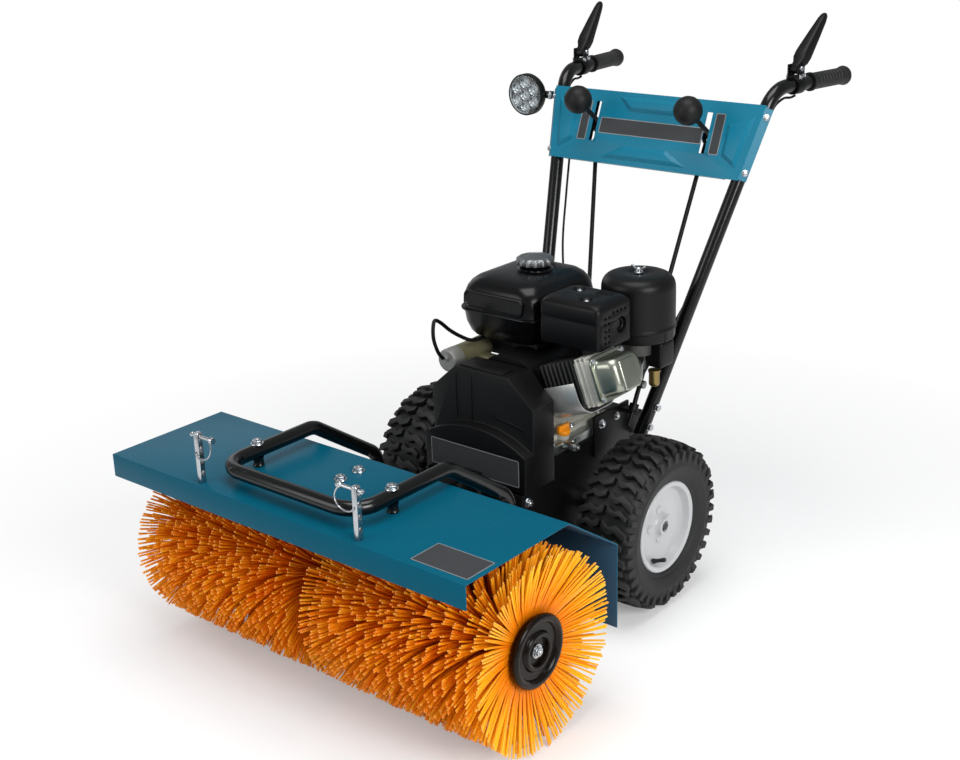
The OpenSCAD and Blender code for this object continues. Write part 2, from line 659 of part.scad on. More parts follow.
// Strands stand on the cells of a thin ring round the drum: one closed surface in all
backing_t = 7;
module bristles(s) {
    n = tufts_per_row;
    m = tuft_rows;
    inner_r = drum_d / 2 / cos(180 / n) + 0.3;
    outer_r = inner_r + backing_t;
    face_r = outer_r * cos(180 / n);
    row_w = (drum_out - drum_in) / m;
    ring = n * (m + 1);
    // Grid points of the backing, then its inner edge points, then six points for each strand
    grid = [for (i = [0 : m], j = [0 : n - 1]) let (a = 360 * j / n)
        [drum_in + i * row_w, outer_r * cos(a), outer_r * sin(a)]];
    inside = [for (x = [drum_in, drum_out], j = [0 : n - 1]) let (a = 360 * j / n)
        [x, inner_r * cos(a), inner_r * sin(a)]];
    strands = [for (i = [0 : m - 1], j = [0 : n - 1], tip = [0, 1], k = [0 : 2]) let (
        a = 360 * (j + 0.5) / n,
        lean = tuft_splay * pow((i + 0.5) / m * 2 - 1, 3) * (i < m / 2 ? 0.62 : 1),
        sway = tip * 5 * sin(150 * i + 90 * (j % 4)),
        across = tuft_size * 0.55 * sin([210, 330, 90][k]),
        x = drum_in + (i + 0.5) * row_w + tuft_size * 0.55 * cos([210, 330, 90][k]) + tip * lean,
        r = tip == 1 ? brush_d / 2 - (j % 4 == 0 ? 0 : 3 * abs(sin(77 * j + 31 * i))) : face_r,
        b = a + sway * 0.4)
        [x, r * cos(b) - across * sin(b), r * sin(b) + across * cos(b)]];
    far_side = [for (i = [0 : m - 1], j = [0 : n - 1]) let (
        q = [i * n + j, (i + 1) * n + j, (i + 1) * n + (j + 1) % n, i * n + (j + 1) % n],
        t = ring + 2 * n + (i * n + j) * 6) each [
            [q[0], q[1], t + 1], [q[0], t + 1, t], [q[1], q[2], t + 2], [q[1], t + 2, t + 1],
            [q[2], q[3], t + 2], [q[3], q[0], t], [q[3], t, t + 2],
            [t, t + 1, t + 4], [t, t + 4, t + 3], [t + 1, t + 2, t + 5], [t + 1, t + 5, t + 4],
            [t + 2, t, t + 3], [t + 2, t + 3, t + 5], [t + 3, t + 4, t + 5]]];
    near_side = [for (j = [0 : n - 1]) let (k = (j + 1) % n, o = m * n) each [
        [ring + j, ring + k, ring + n + k], [ring + j, ring + n + k, ring + n + j],
        [j, k, ring + k], [j, ring + k, ring + j],
        [o + j, ring + n + j, ring + n + k], [o + j, ring + n + k, o + k]]];
    color("orange") translate([0, brush_y, brush_z]) mirror([s > 0 ? 0 : 1, 0, 0])
        polyhedron(concat(grid, inside, strands), concat(far_side, near_side));
}

module bristles_right() bristles(1);
module bristles_left() bristles(-1);

module worm_wheel() {
    w = 16;
    twist = w * tan(worm_lead_angle) / worm_wheel_r * 180 / PI;
    p = 360 / worm_teeth;
    outline = [for (i = [0 : worm_teeth - 1], k = [0 : 3]) let (
        a = 90 + p / 2 + i * p + [-0.3, -0.1, 0.1, 0.3][k] * p,
        r = worm_wheel_r + [-1.3, 0.75, 0.75, -1.3][k] * worm_m) r * [cos(a), sin(a)]];
    color("goldenrod") translate([0, brush_y, brush_z]) rotate([90, 0, 90]) difference() {
        rotate(twist / 2) linear_extrude(w, center = true, twist = twist, slices = 2) polygon(outline);
        cylinder(r = brush_shaft_d / 2 + 0.1, h = w + 2, center = true);
    }
}

// Worm thread: a two-lobed outline turned along the shaft, with a lobe in the wheel's top gap
module worm_shaft() {
    l = 52;
    rings = 36;
    sides = 16;
    root = worm_r - 1.3 * worm_m;
    crest = worm_r + 0.75 * worm_m;
    lobe = [for (i = [0 : sides - 1]) let (c = abs(cos(360 * i / sides)))
        c > 0.85 ? crest : c > 0.5 ? mix(root, crest, (c - 0.5) / 0.35) : root];
    thread = [for (k = [0 : rings]) let (z = l * (k / rings - 0.5))
        [for (i = [0 : sides - 1]) let (a = 360 * i / sides + 90 - 360 * z / worm_lead)
            [lobe[i] * cos(a), lobe[i] * sin(a), z]]];
    color("gray") {
        translate([0, brush_y, drive_z]) rotate([-90, 0, 0]) loft(thread);
        translate([0, brush_y - 40, drive_z]) along_y() cylinder(r = worm_shaft_r - 0.5, h = 40 - l / 2);
        translate([0, brush_y + l / 2, drive_z]) along_y()
            cylinder(r = worm_shaft_r, h = swivel_y - brush_y - l / 2);
        translate([0, swivel_y, drive_z]) sphere(ball_r);
        translate([-cup_r + 1, swivel_y, drive_z]) along_x() cylinder(r = cup_pin_r, h = 2 * cup_r - 2);
    }
}

// Swivel head: gearbox, yoke, hood and guard tube
module gearbox_housing() {
    hanger_y = [brush_y - 49, brush_y + 23];
    color([0.12, 0.12, 0.13]) difference() {
        union() {
            translate([-box_half_w, brush_y, brush_z]) along_x() cylinder(r = box_r, h = 2 * box_half_w);
            translate([0, brush_y - 50, drive_z]) along_y() cylinder(r = 27, h = 100);
            translate([0, brush_y, drive_z]) along_y()
                cylinder(r = neck_r, h = head_plate_y - head_plate_t - brush_y);
            translate([-16, hanger_y[0], drive_z])
                cube([32, hanger_y[1] - hanger_y[0], hood_top - sheet_t - drive_z]);
        }
        translate([box_wall - box_half_w, brush_y, brush_z]) along_x()
            cylinder(r = box_r - box_wall, h = 2 * (box_half_w - box_wall));
        translate([-box_half_w - 1, brush_y, brush_z]) along_x()
            cylinder(r = brush_shaft_d / 2 + run_gap, h = 2 * box_half_w + 2);
        translate([0, brush_y - 32, drive_z]) along_y() cylinder(r = 21, h = 70);
        translate([0, brush_y - 44, drive_z]) along_y() cylinder(r = worm_shaft_r - 0.5 + run_gap, h = 20);
        translate([0, brush_y, drive_z]) along_y() cylinder(r = worm_shaft_r + 3, h = 300);
        // Lightening window between the two hanger walls
        translate([-9, hanger_y[0] - 1, drive_z + 34]) cube([18, 80, hood_top - sheet_t - drive_z - 46]);
    }
}

module swivel_yoke() {
    top = drive_z + ear_gap + ear_t + clear;
    low = drive_z - ear_gap - ear_t - clear;
    color([0.09, 0.09, 0.1]) difference() {
        union() {
            for (z = [top, low - arm_t]) {
                translate([-16, head_plate_y - 1, z]) cube([32, swivel_y - head_plate_y + 1, arm_t]);
                translate([0, swivel_y, z]) cylinder(r = 16, h = arm_t);
            }
            translate([0, swivel_y, top - ear_t - 4]) cylinder(d = king_d, h = ear_t + 5);
            translate([0, swivel_y, low - 1]) cylinder(d = king_d, h = ear_t + 5);
            translate([-34, head_plate_y - head_plate_t, low - arm_t])
                cube([68, head_plate_t, top - low + 2 * arm_t]);
            translate([-beam_l / 2, head_plate_y - head_plate_t, beam_z])
                cube([beam_l, 30, beam_t]);
        }
        translate([0, head_plate_y - 30, drive_z]) along_y() cylinder(r = worm_shaft_r + 3, h = 60);
    }
}

hood_profile = [[hood_front_y, hood_top - lip_h], [hood_front_y, hood_top], [hood_top_y, hood_top],
    [flap_y, flap_z], [flap_y, flap_z - flap_h]];

module hood() color([0.02, 0.33, 0.44]) difference() {
    translate([-hood_w / 2, 0, 0]) rotate([90, 0, 90]) linear_extrude(hood_w)
        polygon(concat(hood_profile, reversed(offset_path(hood_profile, -sheet_t))));
    // Opening in the rear flap for the gearbox's neck
    translate([-neck_r - 8, flap_y - 20, flap_z - flap_h - 1])
        cube([2 * neck_r + 16, 40, drive_z - flap_z + flap_h + 1]);
    translate([0, flap_y - 20, drive_z]) along_y() cylinder(r = neck_r + 8, h = 40);
}

guard_foot_y = -600;
guard_down = [guard_w / 2, head_plate_y + 7, beam_z + beam_t + 30];
guard_turn = [guard_w / 2, hood_top_y + 4, guard_z];

module guard_tube() {
    front = [guard_w / 2, hood_front_y + guard_setback, guard_z];
    path = [[guard_down[0], guard_down[1], beam_z + beam_t], guard_down, guard_turn, front];
    color([0.08, 0.08, 0.08]) {
        bent_tube(concat(path, [for (p = reversed(path)) mirrored(p)]), guard_d / 2, tube_wall, guard_bend);
        // Spacers that carry the tube over the hood
        both_sides() translate([guard_w / 2, guard_foot_y, hood_top]) cylinder(r = 9, h = guard_lift);
    }
}

module hood_bolts() color("silver") {
    both_sides() translate([guard_w / 2, guard_foot_y, guard_z + guard_d / 2]) bolt_head(10);
    for (y = [brush_y - 36, brush_y + 8]) translate([0, y, hood_top]) bolt_head(10);
}

module accessory_posts() color("silver") both_sides() translate([post_span / 2, post_y, hood_top])
    difference() {
    translate([-post_t / 2, -post_w / 2, 0]) cube([post_t, post_w, post_h]);
    for (i = [0 : 3]) translate([-post_t, 0, post_top_hole - i * post_hole_pitch]) along_x()
        cylinder(d = post_hole_d, h = 2 * post_t);
}

// A snap pin through the top hole of the right post, with its wire loop
module hitch_pin() {
    z = hood_top + post_top_hole;
    inner = post_span / 2 - post_t / 2;
    wire = 1.6;
    loop_r = 16;
    color("silver") {
        translate([inner - 36, post_y, z]) along_x() cylinder(r = pin_r, h = 36 + post_t + 8);
        translate([inner - 42, post_y, z]) along_x() cylinder(r = pin_r + 2.5, h = 8);
        translate([inner - 37 + loop_r, post_y + 2, z]) rotate([-90, 0, 0])
            rotate_extrude(angle = 180) translate([loop_r, 0]) circle(wire, $fn = 16);
    }
}

module hitch_pin_right() hitch_pin();
module hitch_pin_left() mirror([1, 0, 0]) hitch_pin();

// Engine
module cylinder_axis() translate([0, cyl_y, crank_z]) rotate([0, 90 - cyl_tilt, 0]) children();

module engine_bed() color("silver") difference() {
    translate([-half_w + 6, -100, chassis_top]) cube([chassis_w - 12, 200, bed_t]);
    for (x = [-90, 90], y = [-70, 70]) translate([x, y, chassis_top - 1]) cylinder(r = 5, h = bed_t + 2);
}

module crankcase() color([0.62, 0.64, 0.64]) difference() {
    union() {
        translate([0, -case_l / 2, crank_z]) along_y() cylinder(r = case_r, h = case_l);
        translate([-case_r - 14, -88, bed_z]) cube([2 * case_r + 28, 176, 26]);
        translate([-case_r, -80, bed_z]) cube([2 * case_r, 160, crank_h]);
        cylinder_axis() translate([-44, -44, 30]) cube([88, 88, cyl_start - 30]);
        translate([0, -case_l / 2 - 6, crank_z]) along_y() cylinder(r = 46, h = 10);
        // Filler neck of the oil dipstick
        translate([dipstick_at[0], dipstick_at[1], bed_z + 12])
            cylinder(r = 13, h = dipstick_at[2] - bed_z - 12);
        translate([case_r - 6, dipstick_at[1] - 13, bed_z + 4]) cube([24, 26, 22]);
        // Pad under the fuel tank
        translate([tank_mid[0] + 12, tank_mid[1] - 70, crank_z + 40])
            cube([60, 100, tank_z - crank_z - 40]);
    }
    translate([0, -case_l, crank_z]) along_y() cylinder(r = crank_d / 2 + run_gap, h = 2 * case_l);
    translate([0, 12 - case_l / 2, crank_z]) along_y() cylinder(r = case_r - 9, h = case_l - 24);
}

module engine_barrel() color([0.12, 0.12, 0.12]) cylinder_axis() {
    translate([0, 0, cyl_start]) cylinder(r = 37, h = fin_count * fin_pitch);
    for (i = [0 : fin_count - 1]) translate([-fin_half, -fin_half, cyl_start + 4 + i * fin_pitch])
        cube([2 * fin_half, 2 * fin_half, fin_t]);
}

module cylinder_head() color([0.55, 0.56, 0.56]) cylinder_axis() translate([0, 0, head_start]) {
    translate([-40, -46, 0]) cube([80, 92, head_l]);
    for (i = [0 : 2]) translate([-fin_half, -fin_half, 4 + i * 11])
        cube([2 * fin_half, 2 * fin_half, fin_t]);
}

module valve_cover() {
    z = head_start + head_l;
    color([0.78, 0.8, 0.78]) cylinder_axis() loft([
        slab_ring(88, 106, 14, z), slab_ring(88, 106, 14, z + 5), slab_ring(72, 90, 14, z + 5.1),
        slab_ring(70, 86, 16, z + cover_l - 16), slab_ring(62, 78, 18, z + cover_l - 5),
        slab_ring(46, 62, 16, z + cover_l)]);
}

module muffler() color([0.25, 0.24, 0.23]) {
    inset = 9;
    top = muffler_z[1] - inset;
    translate([muffler_x[0] + inset, muffler_y[0] + inset, muffler_z[0] + 4])
        cube([muffler_x[1] - muffler_x[0] - 2 * inset, muffler_y[1] - muffler_y[0] - 2 * inset,
            top - muffler_z[0] - 4]);
    // Exhaust port on the head, and two bosses under the shield
    cylinder_axis() translate([-fin_half - 30, -16, head_start + 2]) cube([30 - fit_gap, 32, 30]);
    for (y = shield_bolt_y) translate([muffler_x[0] + 70, y, top - 1])
        cylinder(r = 7, h = inset - shell_t + 1);
}

module muffler_shield() {
    w = muffler_x[1] - muffler_x[0];
    l = muffler_y[1] - muffler_y[0];
    h = muffler_z[1] - muffler_z[0];
    mid = [(muffler_x[0] + muffler_x[1]) / 2, (muffler_y[0] + muffler_y[1]) / 2];
    color([0.07, 0.07, 0.07]) difference() {
        translate([mid[0], mid[1], muffler_z[0]]) linear_extrude(h) polygon(rounded_rect(w, l, 12));
        translate([mid[0], mid[1], muffler_z[0] - 1]) linear_extrude(h - shell_t + 1)
            polygon(rounded_rect(w - 2 * shell_t, l - 2 * shell_t, 10));
        // Vent holes in the outer face and the outlet
        for (i = [0 : 1], k = [0 : 4]) translate([muffler_x[1] - 8, muffler_y[0] + 26 + i * 13,
            muffler_z[0] + 16 + k * 12])
            along_x() cylinder(r = 3, h = 20);
        for (k = [0 : 3]) translate([muffler_x[1] - 8, muffler_y[0] + 52 + k * 13, muffler_z[1] - 16])
            along_x() cylinder(r = 3, h = 20);
        translate([muffler_x[1] - 8, muffler_y[1] - 36, muffler_z[0] + 38]) along_x()
            cylinder(r = 15, h = 20);
    }
}

module fuel_tank() {
    low = tank_z;
    seam = tank_z + tank_split;
    crown = tank_z + tank_h;
    color([0.06, 0.06, 0.06]) {
        loft([slab_ring(tank_w - 50, tank_l - 46, 30, low, tank_mid),
            slab_ring(tank_w - 26, tank_l - 22, 34, low + 10, tank_mid),
            slab_ring(tank_w - 10, tank_l - 8, 36, low + 30, tank_mid),
                slab_ring(tank_w - 6, tank_l - 4, 36, seam - 3, tank_mid),
            slab_ring(tank_w + 8, tank_l + 8, 40, seam - 2.5, tank_mid),
                slab_ring(tank_w + 8, tank_l + 8, 40, seam + 2.5, tank_mid),
            slab_ring(tank_w - 6, tank_l - 4, 36, seam + 3, tank_mid),
                slab_ring(tank_w - 12, tank_l - 10, 36, seam + 26, tank_mid),
            slab_ring(tank_w - 36, tank_l - 34, 36, crown - 20, tank_mid),
                slab_ring(tank_w - 76, tank_l - 76, 32, crown - 6, tank_mid),
            slab_ring(tank_w - 130, tank_l - 130, 24, crown, tank_mid)]);
        translate([cap_at[0], cap_at[1], crown - 14]) cylinder(r = 24, h = 26);
    }
}

module fuel_cap() color("silver") translate([cap_at[0], cap_at[1], tank_z + tank_h + 12 + clear]) {
    rotate_extrude() polygon([[0, 0], [34, 0], [36, 3], [36, 14], [33, 19], [24, 22], [0, 22]]);
    for (i = [0 : 11]) rotate(30 * i) translate([33, 0, 1]) cylinder(r = 5, h = 15);
}

module air_cleaner() color([0.07, 0.07, 0.07]) translate([cleaner_at[0], cleaner_at[1], cleaner_z]) {
    r = cleaner_d / 2;
    rotate_extrude() polygon(concat([[0, 0], [r - 6, 0], [r - 3, 4], [r - 3, 20], [r, 23], [r, 27],
        [r - 2, 30]],
        arc([r - 26, cleaner_h - 24], 22, 0, 72, 6), [[0, cleaner_h + 2]]));
}

module carburettor() {
    top = cleaner_z;
    x = cleaner_at[0];
    color([0.5, 0.5, 0.48]) {
        translate([x - 24, 44, top - 62]) cube([48, 66, 40]);
        translate([x, cleaner_at[1] - 10, top - 26]) cylinder(r = 46, h = 26);
        translate([x, 78, top - 80]) cylinder(r = 19, h = 20);
        // Inlet pipe to the cylinder head, and the throttle lever's pin
        rod([x + 22, cyl_y + fin_half + 0.3, top - 36], [x + 22, 60, top - 36], 14);
        translate([x + 23, 92, top - 42]) along_x() cylinder(r = 3 - run_gap, h = 6);
    }
}

module throttle_lever() {
    x = cleaner_at[0] + 24 + clear;
    color([0.15, 0.15, 0.15]) translate([x, 92, cleaner_z - 42]) difference() {
        union() {
            along_x() cylinder(r = 9, h = 3);
            translate([0, -5, -46]) cube([3, 10, 46]);
            translate([0, 0, -46]) along_x() cylinder(r = 8, h = 10);
        }
        translate([-1, 0, 0]) along_x() cylinder(r = 3, h = 5);
    }
}

module recoil_cover() {
    color([0.07, 0.07, 0.07]) translate([0, recoil_y, crank_z]) difference() {
        union() {
            along_y() rotate_extrude() polygon([[crank_d / 2 + 20, -4], [recoil_r, -4],
                [recoil_r, recoil_l - 14],
                [recoil_r - 12, recoil_l], [0, recoil_l], [0, recoil_l - shell_t],
                    [recoil_r - 13, recoil_l - shell_t],
                [recoil_r - shell_t, recoil_l - 15], [recoil_r - shell_t, 0], [crank_d / 2 + 20, 0]]);
            rotate([0, 20, 0]) translate([-recoil_r - 12, 52, 0]) along_x() cylinder(r = 9, h = 16);
        }
        // Vents in the end face and the rope hole
        for (i = [0 : 11]) rotate([0, 30 * i, 0]) translate([34, recoil_l - 10, -3]) cube([26, 20, 6]);
        rotate([0, 20, 0]) translate([-recoil_r - 30, 52, 0]) along_x() cylinder(r = 4, h = 60);
    }
}

module recoil_grip() color([0.05, 0.05, 0.05]) translate([0, recoil_y + 52, crank_z]) rotate([0, 20, 0]) {
    translate([-rope_end - 22, -32, 0]) along_y() cylinder(r = 9, h = 64);
    translate([-rope_end - 20, 0, 0]) along_x() cylinder(r = 7, h = 19);
    translate([-rope_end - 10, 0, 0]) along_x() cylinder(r = 2.5, h = 70);
}

module starter_motor() {
    z = crank_z + starter_at[1];
    x = starter_at[0];
    color([0.66, 0.64, 0.55]) {
        translate([x, starter_y[0], z]) along_y() cylinder(r = starter_r, h = starter_y[1] - starter_y[0]);
        translate([x - 28, starter_y[0] + 26, z - 12]) along_y() cylinder(r = 13, h = 72);
        // Foot on the crankcase, and the cable's terminal
        translate([x, -70, z - 14]) cube([-71 - x, 26, 12]);
        translate([x, starter_y[0] - 7, z + 6]) along_y() cylinder(r = 5, h = 8);
    }
}

module oil_dipstick() color("orange")
    translate([dipstick_at[0], dipstick_at[1], dipstick_at[2] + fit_gap]) {
    rotate_extrude() polygon([[0, 0], [12, 0], [14, 4], [14, 10], [0, 14]]);
    translate([-3, -16, 8]) cube([6, 32, 12]);
}

module engine_fasteners() color("silver") {
    z = head_start + head_l + 5.1 + fit_gap;
    cylinder_axis() for (x = [-37, 37], y = [-45, 45]) translate([x, y, z]) bolt_head(5);
    // Wing nut on the air cleaner
    translate([cleaner_at[0], cleaner_at[1], cleaner_z + cleaner_h + 2]) {
        cylinder(r = 7, h = 10);
        for (s = [-1, 1]) translate([s > 0 ? 4 : -18, -1.5, 4]) cube([14, 3, 12]);
    }
    // Bolts of the muffler's shield and of the engine's feet
    for (y = shield_bolt_y) translate([muffler_x[0] + 70, y, muffler_z[1]]) bolt_head(7);
    for (s = [-1, 1], y = foot_bolt_y) translate([s * foot_bolt_x, y, bed_z + foot_bolt_rise])
        bolt_head(6);
}

// Cover of the belt bay: a shell that is open behind and below
cover_y = [-206, -180, -114.5];
cover_half = 122;
cover_low = bay_top;
cover_top = 470;
arch_r = 225;
arch_z = 142;
module belt_cover() {
    t = shell_t;
    outline = [[-cover_half, cover_low], [cover_half, cover_low], [cover_half, 419], [64, cover_top],
        [-64, cover_top], [-cover_half, 419]];
    inner = [[t - cover_half, cover_low - 1], [cover_half - t, cover_low - 1], [cover_half - t, 418],
        [63, cover_top - t], [-63, cover_top - t], [t - cover_half, 418]];
    color([0.06, 0.06, 0.06]) difference() {
        union() {
            translate([0, cover_y[2], 0]) rotate([90, 0, 0]) linear_extrude(cover_y[2] - cover_y[1])
                polygon(outline);
            intersection() {
                translate([0, cover_y[0], arch_z]) along_y() cylinder(r = arch_r, h = 60);
                translate([-cover_half, cover_y[0], cover_low]) cube([2 * cover_half, 60, 200]);
            }
        }
        translate([0, cover_y[2] + 1, 0]) rotate([90, 0, 0])
            linear_extrude(cover_y[2] + 1 - cover_y[1] - t) polygon(inner);
        intersection() {
            translate([0, cover_y[0] + t, arch_z]) along_y() cylinder(r = arch_r - t, h = 80);
            translate([t - cover_half, cover_y[0], cover_low - 1]) cube([2 * (cover_half - t), 90, 200]);
        }
    }
}

starter_cable_route = [[-122, -146.8, 463], [-123, -160, 480], [-128, -166, 510], [-130, -160, 540],
    [-128, -146, 536], [-124, -122, 514], [-118, -98, 496], [-108, -76, 484], [-100, -46, 484]];
module starter_cable() color([0.05, 0.05, 0.05]) cable(starter_cable_route, 7);

// Handles, panel and controls
module handles() color([0.07, 0.07, 0.07]) both_sides()
    bent_tube([handle_foot, handle_bend, handle_end], handle_r, tube_wall, handle_radius);

grip_start = handle_end + unit(handle_bend - handle_end) * (grip_l - 3);
module grips() color([0.06, 0.06, 0.06]) both_sides() along(grip_start, handle_end) rotate_extrude()
    polygon([
    [handle_r + 0.1, 0], [grip_d / 2 + 2, 0], [grip_d / 2 + 2, 6], [grip_d / 2, 10],
        [grip_d / 2, grip_l - 14],
    [grip_d / 2 + 3, grip_l - 4], [grip_d / 2 + 1, grip_l], [0, grip_l], [0, grip_l - 2.9],
        [handle_r + 0.1, grip_l - 2.9]]);

function handle_at(z) = mix(handle_foot, handle_bend, (z - handle_foot[2])
    / (handle_bend[2] - handle_foot[2]));
module handle_fasteners() color("silver") {
    d = unit(handle_bend - handle_foot);
    out = unit([1, 0, 0] - d[0] * d);
    both_sides() {
        for (z = [283, 322]) along(handle_at(z) + out * handle_r, handle_at(z) + out * (handle_r + 9))
            bolt_head(8);
        translate([half_w + 4, bracket_y[0] + 22, chassis_top + 24]) along_x() bolt_head(8);
    }
    panel_frame() both_sides() panel_flange() for (v = [16, panel_h - 22])
        translate([0, panel_flange_l / 2, v]) along_x() bolt_head(6);
}

// Panel frame: local X is the width, local Z runs up the panel's back face, local -Y faces forward
panel_low_y = handle_at(panel_low_z)[1] - handle_r / cos(handle_lean) - 0.5;
module panel_frame() translate([0, panel_low_y, panel_low_z]) rotate([-handle_lean, 0, 0]) children();
function panel_half(v) = mix(panel_low_half, panel_top_half, v / panel_h);

module control_panel() color([0.03, 0.42, 0.55]) {
    panel_frame() difference() {
        union() {
            rotate([90, 0, 0]) linear_extrude(panel_t) polygon([[-panel_low_half, 0], [panel_low_half, 0],
                [panel_top_half, panel_h], [-panel_top_half, panel_h]]);
            both_sides() panel_flange() translate([-panel_t, 0, 0])
                cube([panel_t, panel_flange_l, panel_h - 4]);
            for (v = [0, panel_h - panel_t]) translate([-196, -panel_t, v]) cube([392, 12, panel_t]);
        }
        both_sides() translate([mix(lever_pivot, lever_knob, 0.5)[0] - slot_w / 2, -20,
            panel_h / 2 - slot_l / 2 + 10])
            cube([slot_w, 40, slot_l]);
    }
    lever_bearing(1);
    mirror([1, 0, 0]) lever_bearing(-1);
}

// Plate and pin behind the panel on which a lever turns; the plate is on the lever's open side
module lever_bearing(side) {
    x = side > 0 ? 9 : -12;
    back = panel_low_y + (lever_pivot[2] - panel_low_z) * tan(handle_lean);
    translate([slot_x + x, back - 1, lever_pivot[2] - 12]) cube([3, lever_pivot[1] + 12 - back, 24]);
    translate([slot_x + (side > 0 ? -9 : -11), lever_pivot[1], lever_pivot[2]]) along_x()
        cylinder(r = 5, h = 20);
}

module panel_flange() {
    tilt = atan((panel_top_half - panel_low_half) / panel_h);
    translate([panel_low_half, -panel_t, 0]) rotate([0, tilt, 0]) rotate([0, 0, -45]) translate([0, 0, 2])
        children();
}

// A lever through a panel slot, for the right side
module panel_lever(side) color([0.06, 0.06, 0.06]) difference() {
    union() {
        rod(lever_pivot, mix(lever_pivot, lever_knob, 0.84), 5);
        translate(lever_pivot) along_x() cylinder(r = 9, h = 16, center = true);
        along(lever_pivot, lever_knob) translate([0, 0, norm(lever_knob - lever_pivot) - 30])
            rotate_extrude() polygon(concat([[0, 0], [7, 0], [9, 6]], arc([0, 30], 27, -58, 90, 10)));
        translate(lever_pin - [side > 0 ? 0 : rod_offset + 9, 0, 0]) along_x()
            cylinder(r = pin_half, h = rod_offset + 9);
    }
    translate(lever_pivot) along_x() cylinder(r = 5 + run_gap, h = 40, center = true);
}

module angle_lever() panel_lever(-1);
module speed_lever() mirror([1, 0, 0]) panel_lever(1);

// A control rod from its guide on the chassis up to its eye on the lever's pin
module control_rod(foot, top) color([0.1, 0.1, 0.1]) difference() {
    union() {
        rod(foot - 24 * unit(top - foot), top, rod_r);
        translate(top) along_x() cylinder(r = pin_half + eye_play + 4.5, h = 8, center = true);
    }
    translate(top) along_x() cylinder(r = pin_half + eye_play, h = 12, center = true);
}

module angle_rod() control_rod(angle_rod_foot, angle_rod_top);
module speed_rod() control_rod(speed_rod_foot, speed_rod_top);

// Clutch levers in clamped brackets in front of the grips
clutch_at = mix(handle_bend, handle_end, clutch_share);
clutch_pivot = clutch_at + [0, 0, clutch_pivot_lift];
module clutch_place() translate(clutch_pivot) rotate([0, 0, -grip_yaw]) children();

module lever_brackets() color([0.1, 0.1, 0.1]) both_sides() difference() {
    union() {
        along(clutch_at - 12 * unit(handle_end - handle_bend), handle_end)
            cylinder(r = handle_r + 5, h = 24);
        clutch_place() {
            for (x = [-13, 10]) translate([x, -11, -22]) cube([3, 22, 30]);
            translate([-13, 0, 0]) along_x() cylinder(r = 4, h = 26);
        }
    }
    rod(mix(handle_bend, handle_end, 0.1), handle_end, handle_r + 0.1);
}

module clutch_lever() {
    rise = 46.7;
    along_lever = [cos(rise), sin(rise)];
    color([0.05, 0.05, 0.05]) clutch_place() difference() {
        rotate([90, 0, 90]) linear_extrude(17, center = true) {
            circle(9.5);
            hull() {
                circle(8);
                translate(along_lever * 0.34 * lever_l) circle(11);
            }
            hull() {
                translate(along_lever * 0.34 * lever_l) circle(11);
                translate(along_lever * (lever_l - 6)) circle(6);
            }
        }
        along_x() cylinder(r = 4 + run_gap, h = 60, center = true);
    }
}

module clutch_lever_right() clutch_lever();
module clutch_lever_left() mirror([1, 0, 0]) clutch_lever();

clutch_cable_top = [clutch_at - [0, 0, handle_r + 8], [261, 494, 907.2], [257, 474, 908],
    [252, 450, 897], [248, 436.5, 877]];
clutch_cable_end = [[98, 228, 370], [88, chassis_rear + 7, 312], [86, chassis_rear + 3, 280]];
clutch_cable_right = concat(clutch_cable_top, [[237, 424, 850], [222, 394, 780], [203, 354, 680],
    [180, 308, 580], [142, 264, 470]], clutch_cable_end);
clutch_cable_left = concat(clutch_cable_top, [[232, 430, 845], [222, 412, 780], [205, 372, 680],
    [170, 310, 580], [128, 262, 470]], clutch_cable_end);
module clutch_cables() color([0.1, 0.1, 0.1]) {
    cable(clutch_cable_right, 5);
    cable([for (p = clutch_cable_left) mirrored(p)], 5);
}

// Headlight on the left end of the panel
lamp_r = lamp_d / 2;
lamp_pin = [lamp_at[0] + lamp_r + 2, lamp_at[1] + 14, lamp_at[2]];
module headlight() color([0.06, 0.06, 0.06]) {
    translate(lamp_at) rotate([90, 0, 0]) rotate_extrude()
        polygon([[0, -34], [16, -34], [30, -22], [lamp_r - 4, -8],
        [lamp_r, 0], [lamp_r, 12], [lamp_r - 6, 12], [lamp_r - 7, 4], [0, 4]]);
    translate([lamp_at[0] + lamp_r - 14, lamp_pin[1], lamp_pin[2]]) along_x() cylinder(r = 8, h = 16);
}

module headlight_lens() color([0.85, 0.88, 0.9]) translate(lamp_at) rotate([90, 0, 0]) difference() {
    translate([0, 0, 4 + fit_gap]) cylinder(r = lamp_r - 7.5, h = 6);
    for (i = [0 : 6]) rotate(60 * i) translate([i == 6 ? 0 : 22, 0, 7]) cylinder(r = 8.5, h = 5);
}

module lamp_bracket() {
    v = (lamp_pin[2] - panel_low_z) / cos(handle_lean);
    color("silver") {
        translate([lamp_pin[0] + clear, lamp_pin[1], lamp_pin[2]]) along_x() cylinder(r = 9, h = 5);
        translate([lamp_pin[0] + 4, lamp_pin[1] - 7, lamp_pin[2] - 8])
            cube([-lamp_pin[0] - 4 - 0.4 - panel_half(v + 9) - panel_flange_l * cos(45), 14, 16]);
    }
}

module at_axle() translate([0, axle_y, 0]) children();

